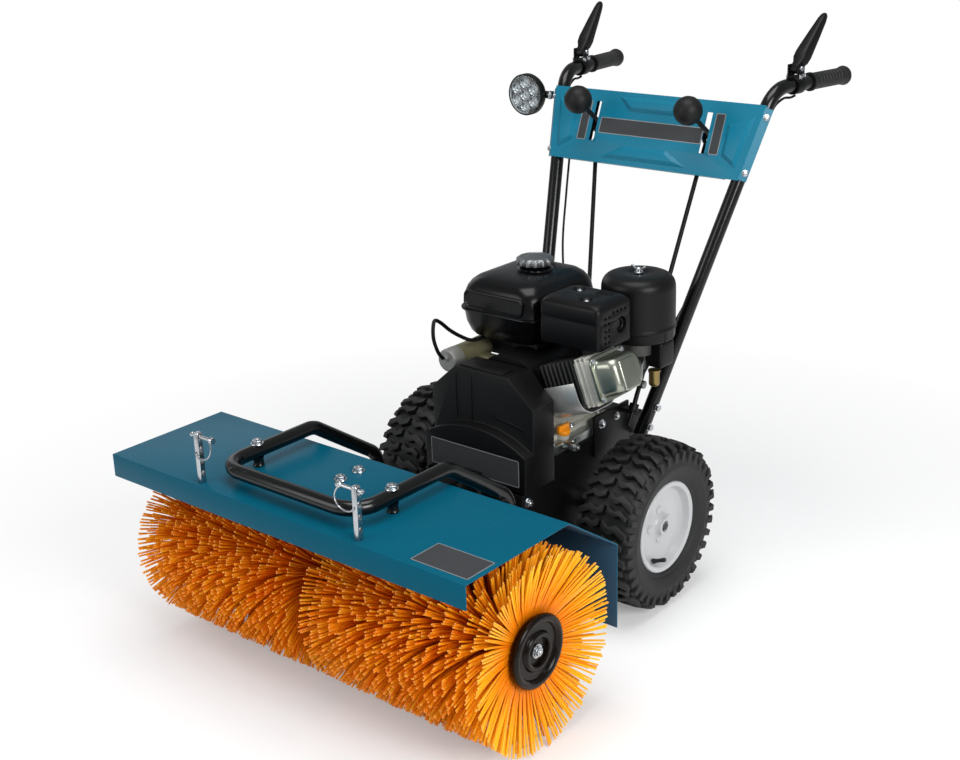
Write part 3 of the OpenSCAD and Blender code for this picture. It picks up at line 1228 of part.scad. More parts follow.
at_axle() chassis_frame();
at_axle() axle_bearings();
at_axle() engine_bed();
at_axle() belt_cover();
at_axle() handles();
at_axle() handle_fasteners();
at_axle() control_panel();
at_axle() grips();
at_axle() lever_brackets();
at_axle() lamp_bracket();
at_axle() clutch_cables();
at_axle() starter_cable();
at_axle() crankcase();
at_axle() engine_barrel();
at_axle() cylinder_head();
at_axle() valve_cover();
at_axle() muffler();
at_axle() muffler_shield();
at_axle() fuel_tank();
at_axle() carburettor();
at_axle() air_cleaner();
at_axle() recoil_cover();
at_axle() starter_motor();
at_axle() oil_dipstick();
at_axle() engine_fasteners();
at_axle() brush_belt();
at_axle() traction_belt();
at_axle() fuel_cap();
at_axle() recoil_grip();
at_axle() throttle_lever();
at_axle() crankshaft();
at_axle() input_shaft();
at_axle() worm_shaft();
at_axle() friction_disc();
at_axle() hex_shaft();
at_axle() drive_axle();
at_axle() tyres();
at_axle() rims();
at_axle() brush_shaft();
at_axle() brush_drums();
at_axle() bristles_left();
at_axle() bristles_right();
at_axle() end_plates();
at_axle() worm_wheel();
at_axle() hood();
at_axle() guard_tube();
at_axle() gearbox_housing();
at_axle() swivel_yoke();
at_axle() hood_bolts();
at_axle() accessory_posts();
at_axle() hitch_pin_left();
at_axle() hitch_pin_right();
at_axle() speed_lever();
at_axle() angle_lever();
at_axle() speed_rod();
at_axle() angle_rod();
at_axle() clutch_lever_left();
at_axle() clutch_lever_right();
at_axle() headlight();
at_axle() headlight_lens();
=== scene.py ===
"""Looks of a walk-behind power brush sweeper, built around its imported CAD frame.

Pieces are modelled in millimetres, measured from the middle of the wheel axle, as the part's own source
is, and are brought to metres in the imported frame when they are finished.
"""

import json
import logging
import math
import random
from contextlib import contextmanager
from dataclasses import dataclass
from enum import Enum
from typing import Callable, Iterable, Iterator, Sequence

import bmesh
import bpy
from mathutils import Euler, Matrix, Vector

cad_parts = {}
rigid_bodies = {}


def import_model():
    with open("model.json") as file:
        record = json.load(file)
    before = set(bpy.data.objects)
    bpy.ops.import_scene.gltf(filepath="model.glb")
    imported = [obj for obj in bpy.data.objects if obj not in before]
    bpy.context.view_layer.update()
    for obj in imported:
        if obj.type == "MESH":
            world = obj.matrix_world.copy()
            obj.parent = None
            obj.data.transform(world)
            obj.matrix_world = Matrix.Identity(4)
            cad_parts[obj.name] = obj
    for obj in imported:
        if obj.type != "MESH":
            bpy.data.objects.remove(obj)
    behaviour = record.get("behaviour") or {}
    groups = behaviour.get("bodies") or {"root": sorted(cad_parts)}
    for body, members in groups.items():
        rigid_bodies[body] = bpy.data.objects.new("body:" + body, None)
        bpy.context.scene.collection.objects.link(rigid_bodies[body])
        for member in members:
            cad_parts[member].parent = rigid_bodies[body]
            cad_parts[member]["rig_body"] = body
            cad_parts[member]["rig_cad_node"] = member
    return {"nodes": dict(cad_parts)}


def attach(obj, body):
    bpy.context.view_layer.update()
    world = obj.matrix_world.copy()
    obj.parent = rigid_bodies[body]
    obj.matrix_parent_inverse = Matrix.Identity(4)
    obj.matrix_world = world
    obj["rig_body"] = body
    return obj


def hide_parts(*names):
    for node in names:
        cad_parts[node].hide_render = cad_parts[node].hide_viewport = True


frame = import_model()

LOG = logging.getLogger("sweeper")
MM = 0.001
AXLE_Y = 21.5
Point = Sequence[float]
Test = Callable[[Vector, Vector], bool]


class Axis(Enum):
    """Turns that lay a piece's own +Z along an axis of the frame."""

    X = (0.0, math.pi / 2, 0.0)
    Y = (-math.pi / 2, 0.0, 0.0)
    Z = (0.0, 0.0, 0.0)


class Grain(Enum):
    """How a surface was made: the stretch of its pattern along X, Y and Z."""

    EVEN = (1.0, 1.0, 1.0)
    BRUSHED_X = (0.06, 1.0, 1.0)


def linear(code: str) -> tuple[float, float, float, float]:
    """Turns an sRGB hex colour into linear values.

    Args:
        code: Six hex digits, with or without a leading hash.

    Returns:
        Red, green, blue and an alpha of 1.
    """
    parts = [int(code.lstrip("#")[i:i + 2], 16) / 255 for i in (0, 2, 4)]
    made = [c / 12.92 if c <= 0.04045 else ((c + 0.055) / 1.055) ** 2.4 for c in parts]
    return made[0], made[1], made[2], 1.0


def feed(tree: bpy.types.NodeTree, node: bpy.types.Node, inputs: dict) -> bpy.types.Node:
    """Sets or links a node's inputs.

    Args:
        tree: The tree that the node is in.
        node: The node.
        inputs: Socket name or number to a value, or to the output that it is linked to.

    Returns:
        The same node.
    """
    for key, value in inputs.items():
        if isinstance(value, bpy.types.NodeSocket):
            tree.links.new(value, node.inputs[key])
        else:
            node.inputs[key].default_value = value
    return node


def add_node(tree: bpy.types.NodeTree, kind: str, inputs: dict, **settings) -> bpy.types.Node:
    """Adds one shader node, with its own settings, and feeds its inputs."""
    node = tree.nodes.new(kind)
    for key, value in settings.items():
        setattr(node, key, value)
    return feed(tree, node, inputs)


def seen_rays(tree: bpy.types.NodeTree) -> bpy.types.Node:
    """Adds nodes that give 1 for what the camera sees, straight or through the lens."""
    path = add_node(tree, "ShaderNodeLightPath", {})
    return add_node(tree, "ShaderNodeMath", {
        0: path.outputs["Is Camera Ray"], 1: path.outputs["Is Transmission Ray"]}, operation="MAXIMUM")


def fresh_tree(name: str) -> tuple[bpy.types.Material, bpy.types.NodeTree, bpy.types.Node]:
    """Makes an empty material.

    Args:
        name: The material's name.

    Returns:
        The material, its tree and its shader node.
    """
    material = bpy.data.materials.new(name)
    material.use_nodes = True
    tree = material.node_tree
    return material, tree, tree.nodes["Principled BSDF"]


class Coat:
    """A finish that becomes a material at its first use."""

    name: str

    def shade(self, tree: bpy.types.NodeTree, shader: bpy.types.Node, place: bpy.types.NodeSocket) -> None:
        """Fills the material's tree.

        Args:
            tree: The material's tree.
            shader: Its shader node.
            place: Coordinates on the piece, in metres.
        """
        raise NotImplementedError

    def material(self) -> bpy.types.Material:
        """Returns the material, made at its first use."""
        made = bpy.data.materials.get(self.name)
        if not made:
            made, tree, shader = fresh_tree(self.name)
            self.shade(tree, shader, add_node(tree, "ShaderNodeTexCoord", {}).outputs["Object"])
        return made


@dataclass(frozen=True)
class Finish(Coat):
    """A finish with a slow change of colour and a fine surface pattern.

    Args:
        name: The real material and how it was made.
        colour: Main colour.
        other: Colour that it drifts to.
        metallic: 1 for bare metal.
        roughness: Middle of the roughness.
        drift: How far the roughness wanders.
        patch_mm: Size of the patches of colour.
        grain_mm: Size of the surface pattern.
        relief_mm: Height of the surface pattern.
        coat: Clear layer on top.
        shine: Strength of the mirror-like part.
        grain: Direction of the pattern.
    """

    name: str
    colour: str
    other: str
    metallic: float = 0.0
    roughness: float = 0.4
    drift: float = 0.06
    patch_mm: float = 60.0
    grain_mm: float = 1.2
    relief_mm: float = 0.02
    coat: float = 0.0
    shine: float = 0.5
    grain: Grain = Grain.EVEN

    def shade(self, tree: bpy.types.NodeTree, shader: bpy.types.Node, place: bpy.types.NodeSocket) -> None:
        """Mixes the colours in patches and roughens the surface with a fine pattern."""
        patches = add_node(tree, "ShaderNodeTexNoise", {
            "Vector": place, "Scale": 1 / (self.patch_mm * MM), "Detail": 3.0, "Roughness": 0.55})
        stretched = add_node(tree, "ShaderNodeMapping", {"Vector": place, "Scale": self.grain.value})
        fine = add_node(tree, "ShaderNodeTexNoise", {
            "Vector": stretched.outputs["Vector"], "Scale": 1 / (self.grain_mm * MM), "Detail": 4.0,
            "Roughness": 0.6})
        colour = add_node(tree, "ShaderNodeMix", {
            0: patches.outputs["Fac"], 6: linear(self.colour), 7: linear(self.other)}, data_type="RGBA")
        rough = add_node(tree, "ShaderNodeMapRange", {
            "Value": fine.outputs["Fac"], "From Min": 0.3, "From Max": 0.7,
            "To Min": self.roughness - self.drift, "To Max": self.roughness + self.drift})
        bump = add_node(tree, "ShaderNodeBump", {
            "Height": fine.outputs["Fac"], "Strength": 1.0, "Distance": self.relief_mm * MM})
        feed(tree, shader, {
            "Base Color": colour.outputs[2], "Roughness": rough.outputs["Result"],
            "Normal": bump.outputs["Normal"], "Metallic": self.metallic, "Specular IOR Level": self.shine,
            "Coat Weight": self.coat, "Coat Roughness": 0.08})


class BristleFinish(Coat):
    """Extruded polypropylene strands: waxy gloss, with painted shade deepening the orange towards the root
    and a painted highlight lightening the cut ends.
    """

    name = "extruded_polypropylene_orange"
    # root is painted shade towards the brush's core; tip and the stops nearest it are a painted highlight on
    # the strands' ends
    root = "#984404"
    tip = "#FFC24E"
    between = ((0.3, "#EC8806"), (0.7, "#FFB414"), (0.96, "#FFC022"))
    # Orange that each strand mixes towards: painted shade on the brush's front rows, with random variation
    shade_and_tone_orange = "#EE6804"

    def shade(self, tree: bpy.types.NodeTree, shader: bpy.types.Node, place: bpy.types.NodeSocket) -> None:
        """Colours each strand along its length, with painted shade at the root and a painted highlight at
        the tip, and by its own mix of painted shade and random variation.
        """
        along = add_node(tree, "ShaderNodeAttribute", {}, attribute_name="along").outputs["Fac"]
        shade_and_tone = add_node(tree, "ShaderNodeAttribute", {}, attribute_name="shade_and_tone").outputs["Fac"]
        # Painted shade at the root and painted highlight at the tip, along each strand
        ramp = add_node(tree, "ShaderNodeValToRGB", {"Fac": along})
        stops = ramp.color_ramp.elements
        stops[0].color = linear(self.root)
        stops[1].color = linear(self.tip)
        for position, code in self.between:
            stops.new(position).color = linear(code)
        # Mix towards the deeper orange by each strand's painted shade and random variation
        varied = add_node(tree, "ShaderNodeMix", {
            0: shade_and_tone, 6: ramp.outputs["Color"], 7: linear(self.shade_and_tone_orange)}, data_type="RGBA")
        streak = add_node(tree, "ShaderNodeTexNoise", {"Vector": place, "Scale": 1 / (3 * MM),
                                                       "Detail": 2.0})
        rough = add_node(tree, "ShaderNodeMapRange", {
            "Value": streak.outputs["Fac"], "To Min": 0.3, "To Max": 0.5})
        feed(tree, shader, {
            "Base Color": varied.outputs[2], "Roughness": rough.outputs["Result"],
            "Specular IOR Level": 0.2})


class LensFinish(Coat):
    """Clear moulded polycarbonate: bends light, faintly rippled."""

    name = "moulded_polycarbonate_clear"

    def shade(self, tree: bpy.types.NodeTree, shader: bpy.types.Node, place: bpy.types.NodeSocket) -> None:
        """Lets light through a rippled surface."""
        ripple = add_node(tree, "ShaderNodeTexNoise", {"Vector": place, "Scale": 1 / (9 * MM),
                                                       "Detail": 1.0})
        bump = add_node(tree, "ShaderNodeBump", {
            "Height": ripple.outputs["Fac"], "Strength": 0.5, "Distance": 0.2 * MM})
        feed(tree, shader, {
            "Normal": bump.outputs["Normal"], "Base Color": linear("#E9EDEF"), "Roughness": 0.04,
            "IOR": 1.2, "Transmission Weight": 0.95})


# Powder coat on sheet steel: deep colour under a smooth film with a faint orange peel
TEAL = Finish("powder_coat_teal", "#05556B", "#045066", roughness=0.3, patch_mm=180, grain_mm=2.2,
              relief_mm=0.008, shine=0.05)
PANEL_TEAL = Finish("powder_coat_light_teal", "#126F89", "#0E6983", roughness=0.3, patch_mm=140,
                    grain_mm=2.2, relief_mm=0.008, shine=0.2)
# Painted shade: a greyer navy on the hood's inward faces stands for the shade inside the hood
HOOD_INSIDE_SHADE = Finish("painted_shade_hood_inside", "#2B5069", "#274962", roughness=0.5, patch_mm=120, shine=0.2)
BLACK_COAT = Finish("powder_coat_black", "#070708", "#0B0B0C", roughness=0.4, patch_mm=90, grain_mm=1.6,
                    relief_mm=0.015, shine=0.17)
TUBE_BLACK = Finish("enamel_black_tube", "#040405", "#070707", roughness=0.2, drift=0.04, patch_mm=120,
                    shine=0.4)
WHITE_COAT = Finish("enamel_white_rim", "#BCBDBE", "#B3B4B6", roughness=0.34, patch_mm=50, relief_mm=0.01,
                    coat=0.15)
# Moulded polypropylene and nylon: satin with a fine spark-eroded grain
BLACK_PLASTIC = Finish("moulded_polypropylene_black", "#070707", "#0B0B0B", roughness=0.4, patch_mm=60,
                       grain_mm=0.9, relief_mm=0.02, shine=0.22)
TANK_PLASTIC = Finish("moulded_polyethylene_black", "#040405", "#070708", roughness=0.24, patch_mm=80,
                      grain_mm=1.4, relief_mm=0.012, shine=0.26)
KNOB_PLASTIC = Finish("moulded_phenolic_black", "#0E0E0E", "#121212", roughness=0.5, patch_mm=30, shine=0.25)
ORANGE_PLASTIC = Finish("moulded_nylon_orange", "#F79A14", "#EC8A0A", roughness=0.4, patch_mm=20)
# Vulcanised rubber: matt, dusty grey where light grazes it
TYRE_RUBBER = Finish("vulcanised_tyre_rubber", "#0B0B0B", "#111110", roughness=0.62, drift=0.1, patch_mm=25,
                     grain_mm=1.0, relief_mm=0.06)
GRIP_RUBBER = Finish("moulded_grip_rubber", "#0C0C0C", "#101010", roughness=0.52, patch_mm=20, grain_mm=0.8,
                     relief_mm=0.04)
BELT_RUBBER = Finish("cloth_faced_belt_rubber", "#1B1A19", "#262422", roughness=0.8, patch_mm=15)
# Zinc plate on steel: bright, slightly blue, clouded by passivation
ZINC = Finish("zinc_plated_steel", "#C9CCCF", "#A9ADB0", metallic=1.0, roughness=0.26, patch_mm=9,
              grain_mm=0.7, relief_mm=0.01)
ZINC_SHEET = Finish("zinc_plated_sheet", "#B9BCB8", "#9FA5A2", metallic=1.0, roughness=0.34, patch_mm=30,
                    grain_mm=1.0, relief_mm=0.01)
CHROME = Finish("chrome_plated_steel", "#B9BBBC", "#A3A6A8", metallic=1.0, roughness=0.24, drift=0.05,
                patch_mm=20, relief_mm=0.004)
# Cast and pressed metals: grey skins from sandy to smooth
HEAD_CAST = Finish("gravity_cast_aluminium", "#C9C8BE", "#ACADA6", metallic=0.45, roughness=0.44,
                   patch_mm=18, grain_mm=0.9, relief_mm=0.06)
DULL_ZINC = Finish("die_cast_zinc_dull", "#5C5D5B", "#484947", metallic=1.0, roughness=0.5, patch_mm=14,
                   grain_mm=0.9, relief_mm=0.04)
BRIGHT_COVER = Finish("stamped_cover_silver", "#A9AB9D", "#969B90", metallic=1.0, roughness=0.33,
                      patch_mm=35, grain_mm=1.2, relief_mm=0.008)
GOLD_STEEL = Finish("yellow_passivated_steel", "#8D8967", "#76735A", metallic=0.6, roughness=0.42,
                    patch_mm=25)
GREY_CAP = Finish("cast_end_cap_grey", "#A7A7A3", "#93938F", metallic=0.7, roughness=0.45, patch_mm=20)
SPUN_CAP = Finish("spun_aluminium_satin", "#8A8C8D", "#7B7E80", metallic=1.0, roughness=0.42, patch_mm=20)
CASE_PALE = Finish("sand_cast_aluminium_pale", "#BDBCB1", "#A8A89E", metallic=0.2, roughness=0.5,
                   patch_mm=18, grain_mm=0.9, relief_mm=0.06)
BRASS = Finish("yellow_brass_bowl", "#A08A58", "#8B774A", metallic=1.0, roughness=0.4, patch_mm=12)
BAFFLE = Finish("bright_rolled_steel", "#D9D9D4", "#BDC0BF", metallic=0.75, roughness=0.3, drift=0.04,
                patch_mm=40, relief_mm=0.004)
IRON = Finish("painted_cast_iron_black", "#141415", "#1E1E1F", roughness=0.55, patch_mm=30, grain_mm=1.4,
              relief_mm=0.1)
BRONZE = Finish("gear_bronze", "#A9793A", "#93682F", metallic=1.0, roughness=0.35, patch_mm=15)
MACHINED = Finish("turned_steel", "#8E9091", "#7C7F80", metallic=1.0, roughness=0.3, patch_mm=20,
                  grain=Grain.BRUSHED_X)
# Plain printed aluminium foil, with nothing on it
PLATE_GREY = Finish("anodised_plate_grey", "#3C3E40", "#37393B", metallic=0.0, roughness=0.5, patch_mm=25,
                    shine=0.15, grain_mm=0.8, relief_mm=0.005, grain=Grain.BRUSHED_X)
PLATE_EDGE = Finish("anodised_plate_border", "#8B8F92", "#7E8285", metallic=0.2, roughness=0.4, patch_mm=25)
DISC_BROWN = Finish("stove_enamel_brown_black", "#120C07", "#0D0805", roughness=0.22, drift=0.03,
                    patch_mm=40, shine=0.18)
BRISTLE = BristleFinish()
LENS = LensFinish()


def only(obj: bpy.types.Object) -> None:
    """Selects one object alone and makes it active."""
    if bpy.context.object and bpy.context.object.mode != "OBJECT":
        bpy.ops.object.mode_set(mode="OBJECT")
    bpy.ops.object.select_all(action="DESELECT")
    obj.select_set(True)
    bpy.context.view_layer.objects.active = obj


@contextmanager
def edit_mode(obj: bpy.types.Object) -> Iterator[None]:
    """Edit mode on one object, with all of it selected."""
    only(obj)
    bpy.ops.object.mode_set(mode="EDIT")
    bpy.ops.mesh.select_mode(type="VERT")
    bpy.ops.mesh.select_all(action="SELECT")
    yield
    bpy.ops.object.mode_set(mode="OBJECT")


def pick_faces(obj: bpy.types.Object, test: Test) -> None:
    """Selects faces in edit mode.

    Args:
        obj: The object in edit mode.
        test: Says whether a face is wanted, from its place and normal.
    """
    bpy.ops.mesh.select_mode(type="FACE")
    bpy.ops.mesh.select_all(action="DESELECT")
    mesh = bmesh.from_edit_mesh(obj.data)
    for face in mesh.faces:
        face.select_set(test(face.calc_center_median(), face.normal))
    bmesh.update_edit_mesh(obj.data)


def arc(centre: Point, radius: float, start: float, stop: float, steps: int) -> list[tuple[float, float]]:
    """Returns points on a flat arc, with angles in degrees."""
    turns = [math.radians(start + (stop - start) * i / steps) for i in range(steps + 1)]
    return [(centre[0] + radius * math.cos(t), centre[1] + radius * math.sin(t)) for t in turns]


def round_box(width: float, depth: float, radius: float, steps: int = 6) -> list[tuple[float, float]]:
    """Returns the outline of a rectangle with round corners, about its middle."""
    x, y = width / 2 - radius, depth / 2 - radius
    made: list[tuple[float, float]] = []
    for sign_x, sign_y, start in ((1, 1, 0), (-1, 1, 90), (-1, -1, 180), (1, -1, 270)):
        made += arc((sign_x * x, sign_y * y), radius, start, start + 90, steps)
    return made


def bent_line(corners: Sequence[Point], bend: float, steps: int = 8) -> list[Vector]:
    """Rounds the corners of a line in space.

    Args:
        corners: Its corner points.
        bend: Radius of each bend.
        steps: Pieces of each bend.

    Returns:
        Points along the rounded line.
    """
    points = [Vector(c) for c in corners]
    made = [points[0]]
    for before, here, after in zip(points, points[1:], points[2:]):
        u, v = (here - before).normalized(), (after - here).normalized()
        turn = u.angle(v)
        start = here - u * bend * math.tan(turn / 2)
        middle = here + (v - u).normalized() * bend / math.cos(turn / 2)
        x = (start - middle).normalized()
        for k in range(steps + 1):
            t = turn * k / steps
            made.append(middle + bend * (x * math.cos(t) + u * math.sin(t)))
    return made + [points[-1]]


def smooth_line(points: Sequence[Point], steps: int = 6) -> list[Vector]:
    """Returns points of a smooth curve through the given ones."""
    p = [Vector(q) for q in points]
    made = []
    for i in range(len(p) - 1):
        a, b, c, d = p[max(i - 1, 0)], p[i], p[i + 1], p[min(i + 2, len(p) - 1)]
        for k in range(steps):
            t = k / steps
            made.append(0.5 * (2 * b + (c - a) * t + (2 * a - 5 * b + 4 * c - d) * t * t
                               + (3 * b - a - 3 * c + d) * t * t * t))
    return made + [p[-1]]


class Piece:
    """One mesh on the bench, in millimetres from the wheel axle, shaped with Blender's own tools."""

    def __init__(self, obj: bpy.types.Object) -> None:
        """Takes hold of a mesh object."""
        self.obj = obj
        self.painted: list[tuple[Finish, Test]] = []

    @classmethod
    def block(cls, low: Point, high: Point) -> "Piece":
        """Returns a block between two corners, as a start."""
        bpy.ops.object.select_all(action="DESELECT")
        bpy.ops.mesh.primitive_cube_add(
            size=1, location=[(a + b) / 2 for a, b in zip(low, high)],
            scale=[b - a for a, b in zip(low, high)])
        return cls(bpy.context.object)._settled()

    @classmethod
    def _dot(cls) -> "Piece":
        """Returns a mesh of one vertex at the origin, from a plane merged to its middle."""
        bpy.ops.object.select_all(action="DESELECT")
        bpy.ops.mesh.primitive_plane_add(size=1)
        made = cls(bpy.context.object)
        with edit_mode(made.obj):
            bpy.ops.mesh.merge(type="CENTER")
        return made

    @classmethod
    def wire(cls, points: Sequence[Point]) -> "Piece":
        """Returns a line of edges through points, drawn by extruding a vertex."""
        made = cls._dot()
        with edit_mode(made.obj):
            bpy.ops.transform.translate(value=points[0])
            for a, b in zip(points, points[1:]):
                step = [q - p for p, q in zip(a, b)]
                bpy.ops.mesh.extrude_vertices_move(TRANSFORM_OT_translate={"value": step})
        return made

    @classmethod
    def turned(cls, profile: Sequence[Point], at: Point = (0, 0, 0), axis: Axis = Axis.Z, steps: int = 48,
               closed: bool = False) -> "Piece":
        """Spins a profile into a turned piece.

        Args:
            profile: Points of radius and height along the axis.
            at: Where the profile's own origin goes.
            axis: What the piece is turned about.
            steps: Sides of the turned piece.
            closed: Whether the profile's ends are joined, as in a ring.

        Returns:
            The turned piece.
        """
        line = list(profile) + ([profile[0]] if closed else [])
        made = cls.wire([(r, 0.0, h) for r, h in line])
        with edit_mode(made.obj):
            bpy.ops.mesh.spin(steps=steps, angle=2 * math.pi, center=(0, 0, 0), axis=(0, 0, 1))
            bpy.ops.mesh.select_all(action="SELECT")
            bpy.ops.mesh.remove_doubles(threshold=0.002)
            bpy.ops.mesh.normals_make_consistent(inside=False)
        made.obj.rotation_euler = axis.value
        made.obj.location = at
        return made._settled()

    @classmethod
    def plate(cls, outline: Sequence[Point], thickness: float, at: Point = (0, 0, 0),
              turn: Point = (0, 0, 0)) -> "Piece":
        """Extrudes a flat outline.

        Args:
            outline: Points in the piece's own XY plane.
            thickness: Depth along its own +Z.
            at: Where the outline's origin goes.
            turn: Euler angles in degrees.

        Returns:
            The plate.
        """
        made = cls.wire([(x, y, 0.0) for x, y in outline])
        with edit_mode(made.obj):
            bpy.ops.mesh.edge_face_add()
            bpy.ops.mesh.extrude_region_move(TRANSFORM_OT_translate={"value": (0, 0, thickness)})
            bpy.ops.mesh.select_all(action="SELECT")
            bpy.ops.mesh.normals_make_consistent(inside=False)
        made.obj.rotation_euler = [math.radians(t) for t in turn]
        made.obj.location = at
        return made._settled()

    @classmethod
    def loft(cls, rings: Sequence[Sequence[Point]]) -> "Piece":
        """Wraps a grid round stacked outlines that have equally many points, and closes its ends."""
        count = len(rings[0])
        bpy.ops.object.select_all(action="DESELECT")
        bpy.ops.mesh.primitive_grid_add(x_subdivisions=count, y_subdivisions=len(rings) - 1, size=1)
        made = cls(bpy.context.object)
        for row, ring in enumerate(rings):
            for column in range(count + 1):
                made.obj.data.vertices[row * (count + 1) + column].co = ring[column % count]
        with edit_mode(made.obj):
            bpy.ops.mesh.remove_doubles(threshold=0.002)
            bpy.ops.mesh.fill_holes(sides=0)
            bpy.ops.mesh.select_all(action="SELECT")
            bpy.ops.mesh.normals_make_consistent(inside=False)
        return made

    @classmethod
    def stacked(cls, levels: Sequence[Point], at: Point, steps: int = 6) -> "Piece":
        """Lofts a stack of rectangles with round corners.

        Args:
            levels: Width, depth, corner radius and height of each.
            at: Where the stack's own origin goes.
            steps: Pieces of each corner.

        Returns:
            The closed stack.
        """
        return cls.loft([[(at[0] + x, at[1] + y, at[2] + z) for x, y in round_box(w, d, r, steps)]
                         for w, d, r, z in levels])

    @classmethod
    def tube(cls, points: Sequence[Point], radius: float, resolution: int = 4) -> "Piece":
        """Returns a round tube along points, drawn as edges and swept as a curve."""
        made = cls.wire(points)
        only(made.obj)
        bpy.ops.object.convert(target="CURVE")
        curve = bpy.context.object
        curve.data.bevel_depth = radius
        curve.data.bevel_resolution = resolution
        curve.data.use_fill_caps = True
        bpy.ops.object.convert(target="MESH")
        made.obj = bpy.context.object
        with edit_mode(made.obj):
            bpy.ops.mesh.remove_doubles(threshold=0.002)
            bpy.ops.mesh.normals_make_consistent(inside=False)
        return made

    @classmethod
    def copy_of(cls, node: str) -> "Piece":
        """Returns a merged copy of a CAD node, with flat faces made whole."""
        source = frame["nodes"][node]
        only(source)
        bpy.ops.object.duplicate()
        copy = bpy.context.object
        copy.parent = None
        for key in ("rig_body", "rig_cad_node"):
            del copy[key]
        bpy.ops.mesh.customdata_custom_splitnormals_clear()
        with edit_mode(copy):
            bpy.ops.mesh.remove_doubles(threshold=2e-6)
            bpy.ops.mesh.dissolve_limited(angle_limit=math.radians(0.3))
        copy.scale = (1 / MM,) * 3
        copy.location = (0, -AXLE_Y, 0)
        return cls(copy)._settled()

    @staticmethod
    def group(pieces: Sequence["Piece"]) -> "Piece":
        """Joins a list of pieces as one object."""
        return pieces[0].joined(*pieces[1:])

    def _settled(self) -> "Piece":
        """Puts the object's place, turn and size into its mesh."""
        only(self.obj)
        bpy.ops.object.transform_apply(location=True, rotation=True, scale=True)
        return self

    def modified(self, kind: str, **settings) -> "Piece":
        """Adds a modifier and applies it."""
        modifier = self.obj.modifiers.new(kind.lower(), kind)
        for key, value in settings.items():
            setattr(modifier, key, value)
        only(self.obj)
        bpy.ops.object.modifier_apply(modifier=modifier.name)
        return self

    def bevelled(self, width: float, segments: int = 2, angle: float = 30.0) -> "Piece":
        """Rounds edges that are sharper than an angle."""
        return self.modified("BEVEL", width=width, segments=segments, limit_method="ANGLE",
                             angle_limit=math.radians(angle), harden_normals=False)

    def cut(self, *tools: "Piece") -> "Piece":
        """Cuts other pieces out of this one."""
        for tool in tools:
            self.modified("BOOLEAN", operation="DIFFERENCE", solver="EXACT", object=tool.obj)
            bpy.data.objects.remove(tool.obj)
        return self

    def joined(self, *others: "Piece") -> "Piece":
        """Joins other pieces to this one as one object."""
        only(self.obj)
        for other in others:
            other.obj.select_set(True)
        bpy.ops.object.join()
        return self

    def placed(self, matrix: Matrix) -> "Piece":
        """Moves the mesh by a matrix."""
        self.obj.matrix_world = matrix
        return self._settled()

    def copied(self) -> "Piece":
        """Returns a copy with its own mesh."""
        only(self.obj)
        bpy.ops.object.duplicate()
        return Piece(bpy.context.object)

    def repeated(self, places: Iterable[Matrix]) -> "Piece":
        """Keeps only copies of this piece at given places, as one object."""
        copies = [self.copied().placed(place) for place in places]
        bpy.data.objects.remove(self.obj)
        return self.group(copies)

    def around(self, count: int, centre: Point, axis: str = "Z") -> "Piece":
        """Repeats the piece round an axis."""
        to, back = Matrix.Translation(centre), Matrix.Translation(-Vector(centre))
        return self.repeated([to @ Matrix.Rotation(2 * math.pi * i / count, 4, axis) @ back
                              for i in range(count)])

    def flipped(self) -> "Piece":
        """Returns a mirror image across the machine's middle."""
        twin = self.copied()
        twin.obj.scale = (-1, 1, 1)
        twin._settled()
        with edit_mode(twin.obj):
            bpy.ops.mesh.normals_make_consistent(inside=False)
        return twin

    def both_sides(self) -> "Piece":
        """Adds the mirror image across the machine's middle."""
        return self.joined(self.flipped())

    def paint(self, finish: Finish, test: Test) -> "Piece":
        """Gives some faces another finish, chosen by place and normal."""
        self.painted.append((finish, test))
        return self

    def done(self, name: str, finish: Coat, body: str, slot: str, replaces: Iterable[str] = (),
             smooth: float = 32.0) -> bpy.types.Object:
        """Finishes the piece in metres and hangs it on its body.

        Args:
            name: The piece's name.
            finish: Its main finish.
            body: The CAD body that it rides on.
            slot: The record's material slot; not used.
            replaces: CAD nodes that it stands for.
            smooth: Angle up to which faces are shaded as one surface.

        Returns:
            The finished object.
        """
        obj = self.obj
        obj.data.materials.clear()
        obj.data.materials.append(finish.material())
        for index, (other, test) in enumerate(self.painted, 1):
            obj.data.materials.append(other.material())
            for face in obj.data.polygons:
                if test(face.center, face.normal):
                    face.material_index = index
        obj.scale = (MM,) * 3
        obj.location = (0, AXLE_Y * MM, 0)
        self._settled()
        bpy.ops.object.shade_smooth_by_angle(angle=math.radians(smooth))
        obj.name = name
        obj.data.name = name
        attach(obj, body)
        if replaces:
            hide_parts(*replaces)
        LOG.info("%s: %d faces on %s", name, len(obj.data.polygons), body)
        return obj


def dress(node: str, finish: Coat) -> None:
    """Gives a CAD node that stays in view a finish."""
    obj = frame["nodes"][node]
    obj.data.materials.clear()
    obj.data.materials.append(finish.material())
    LOG.info("%s: CAD node dressed", node)


def refine(node: str, finish: Coat, body: str, slot: str, width: float = 0.8) -> None:
    """Shows a CAD node as a copy with rounded edges."""
    Piece.copy_of(node).bevelled(width).done(node + "_eased", finish, body, slot, [node])


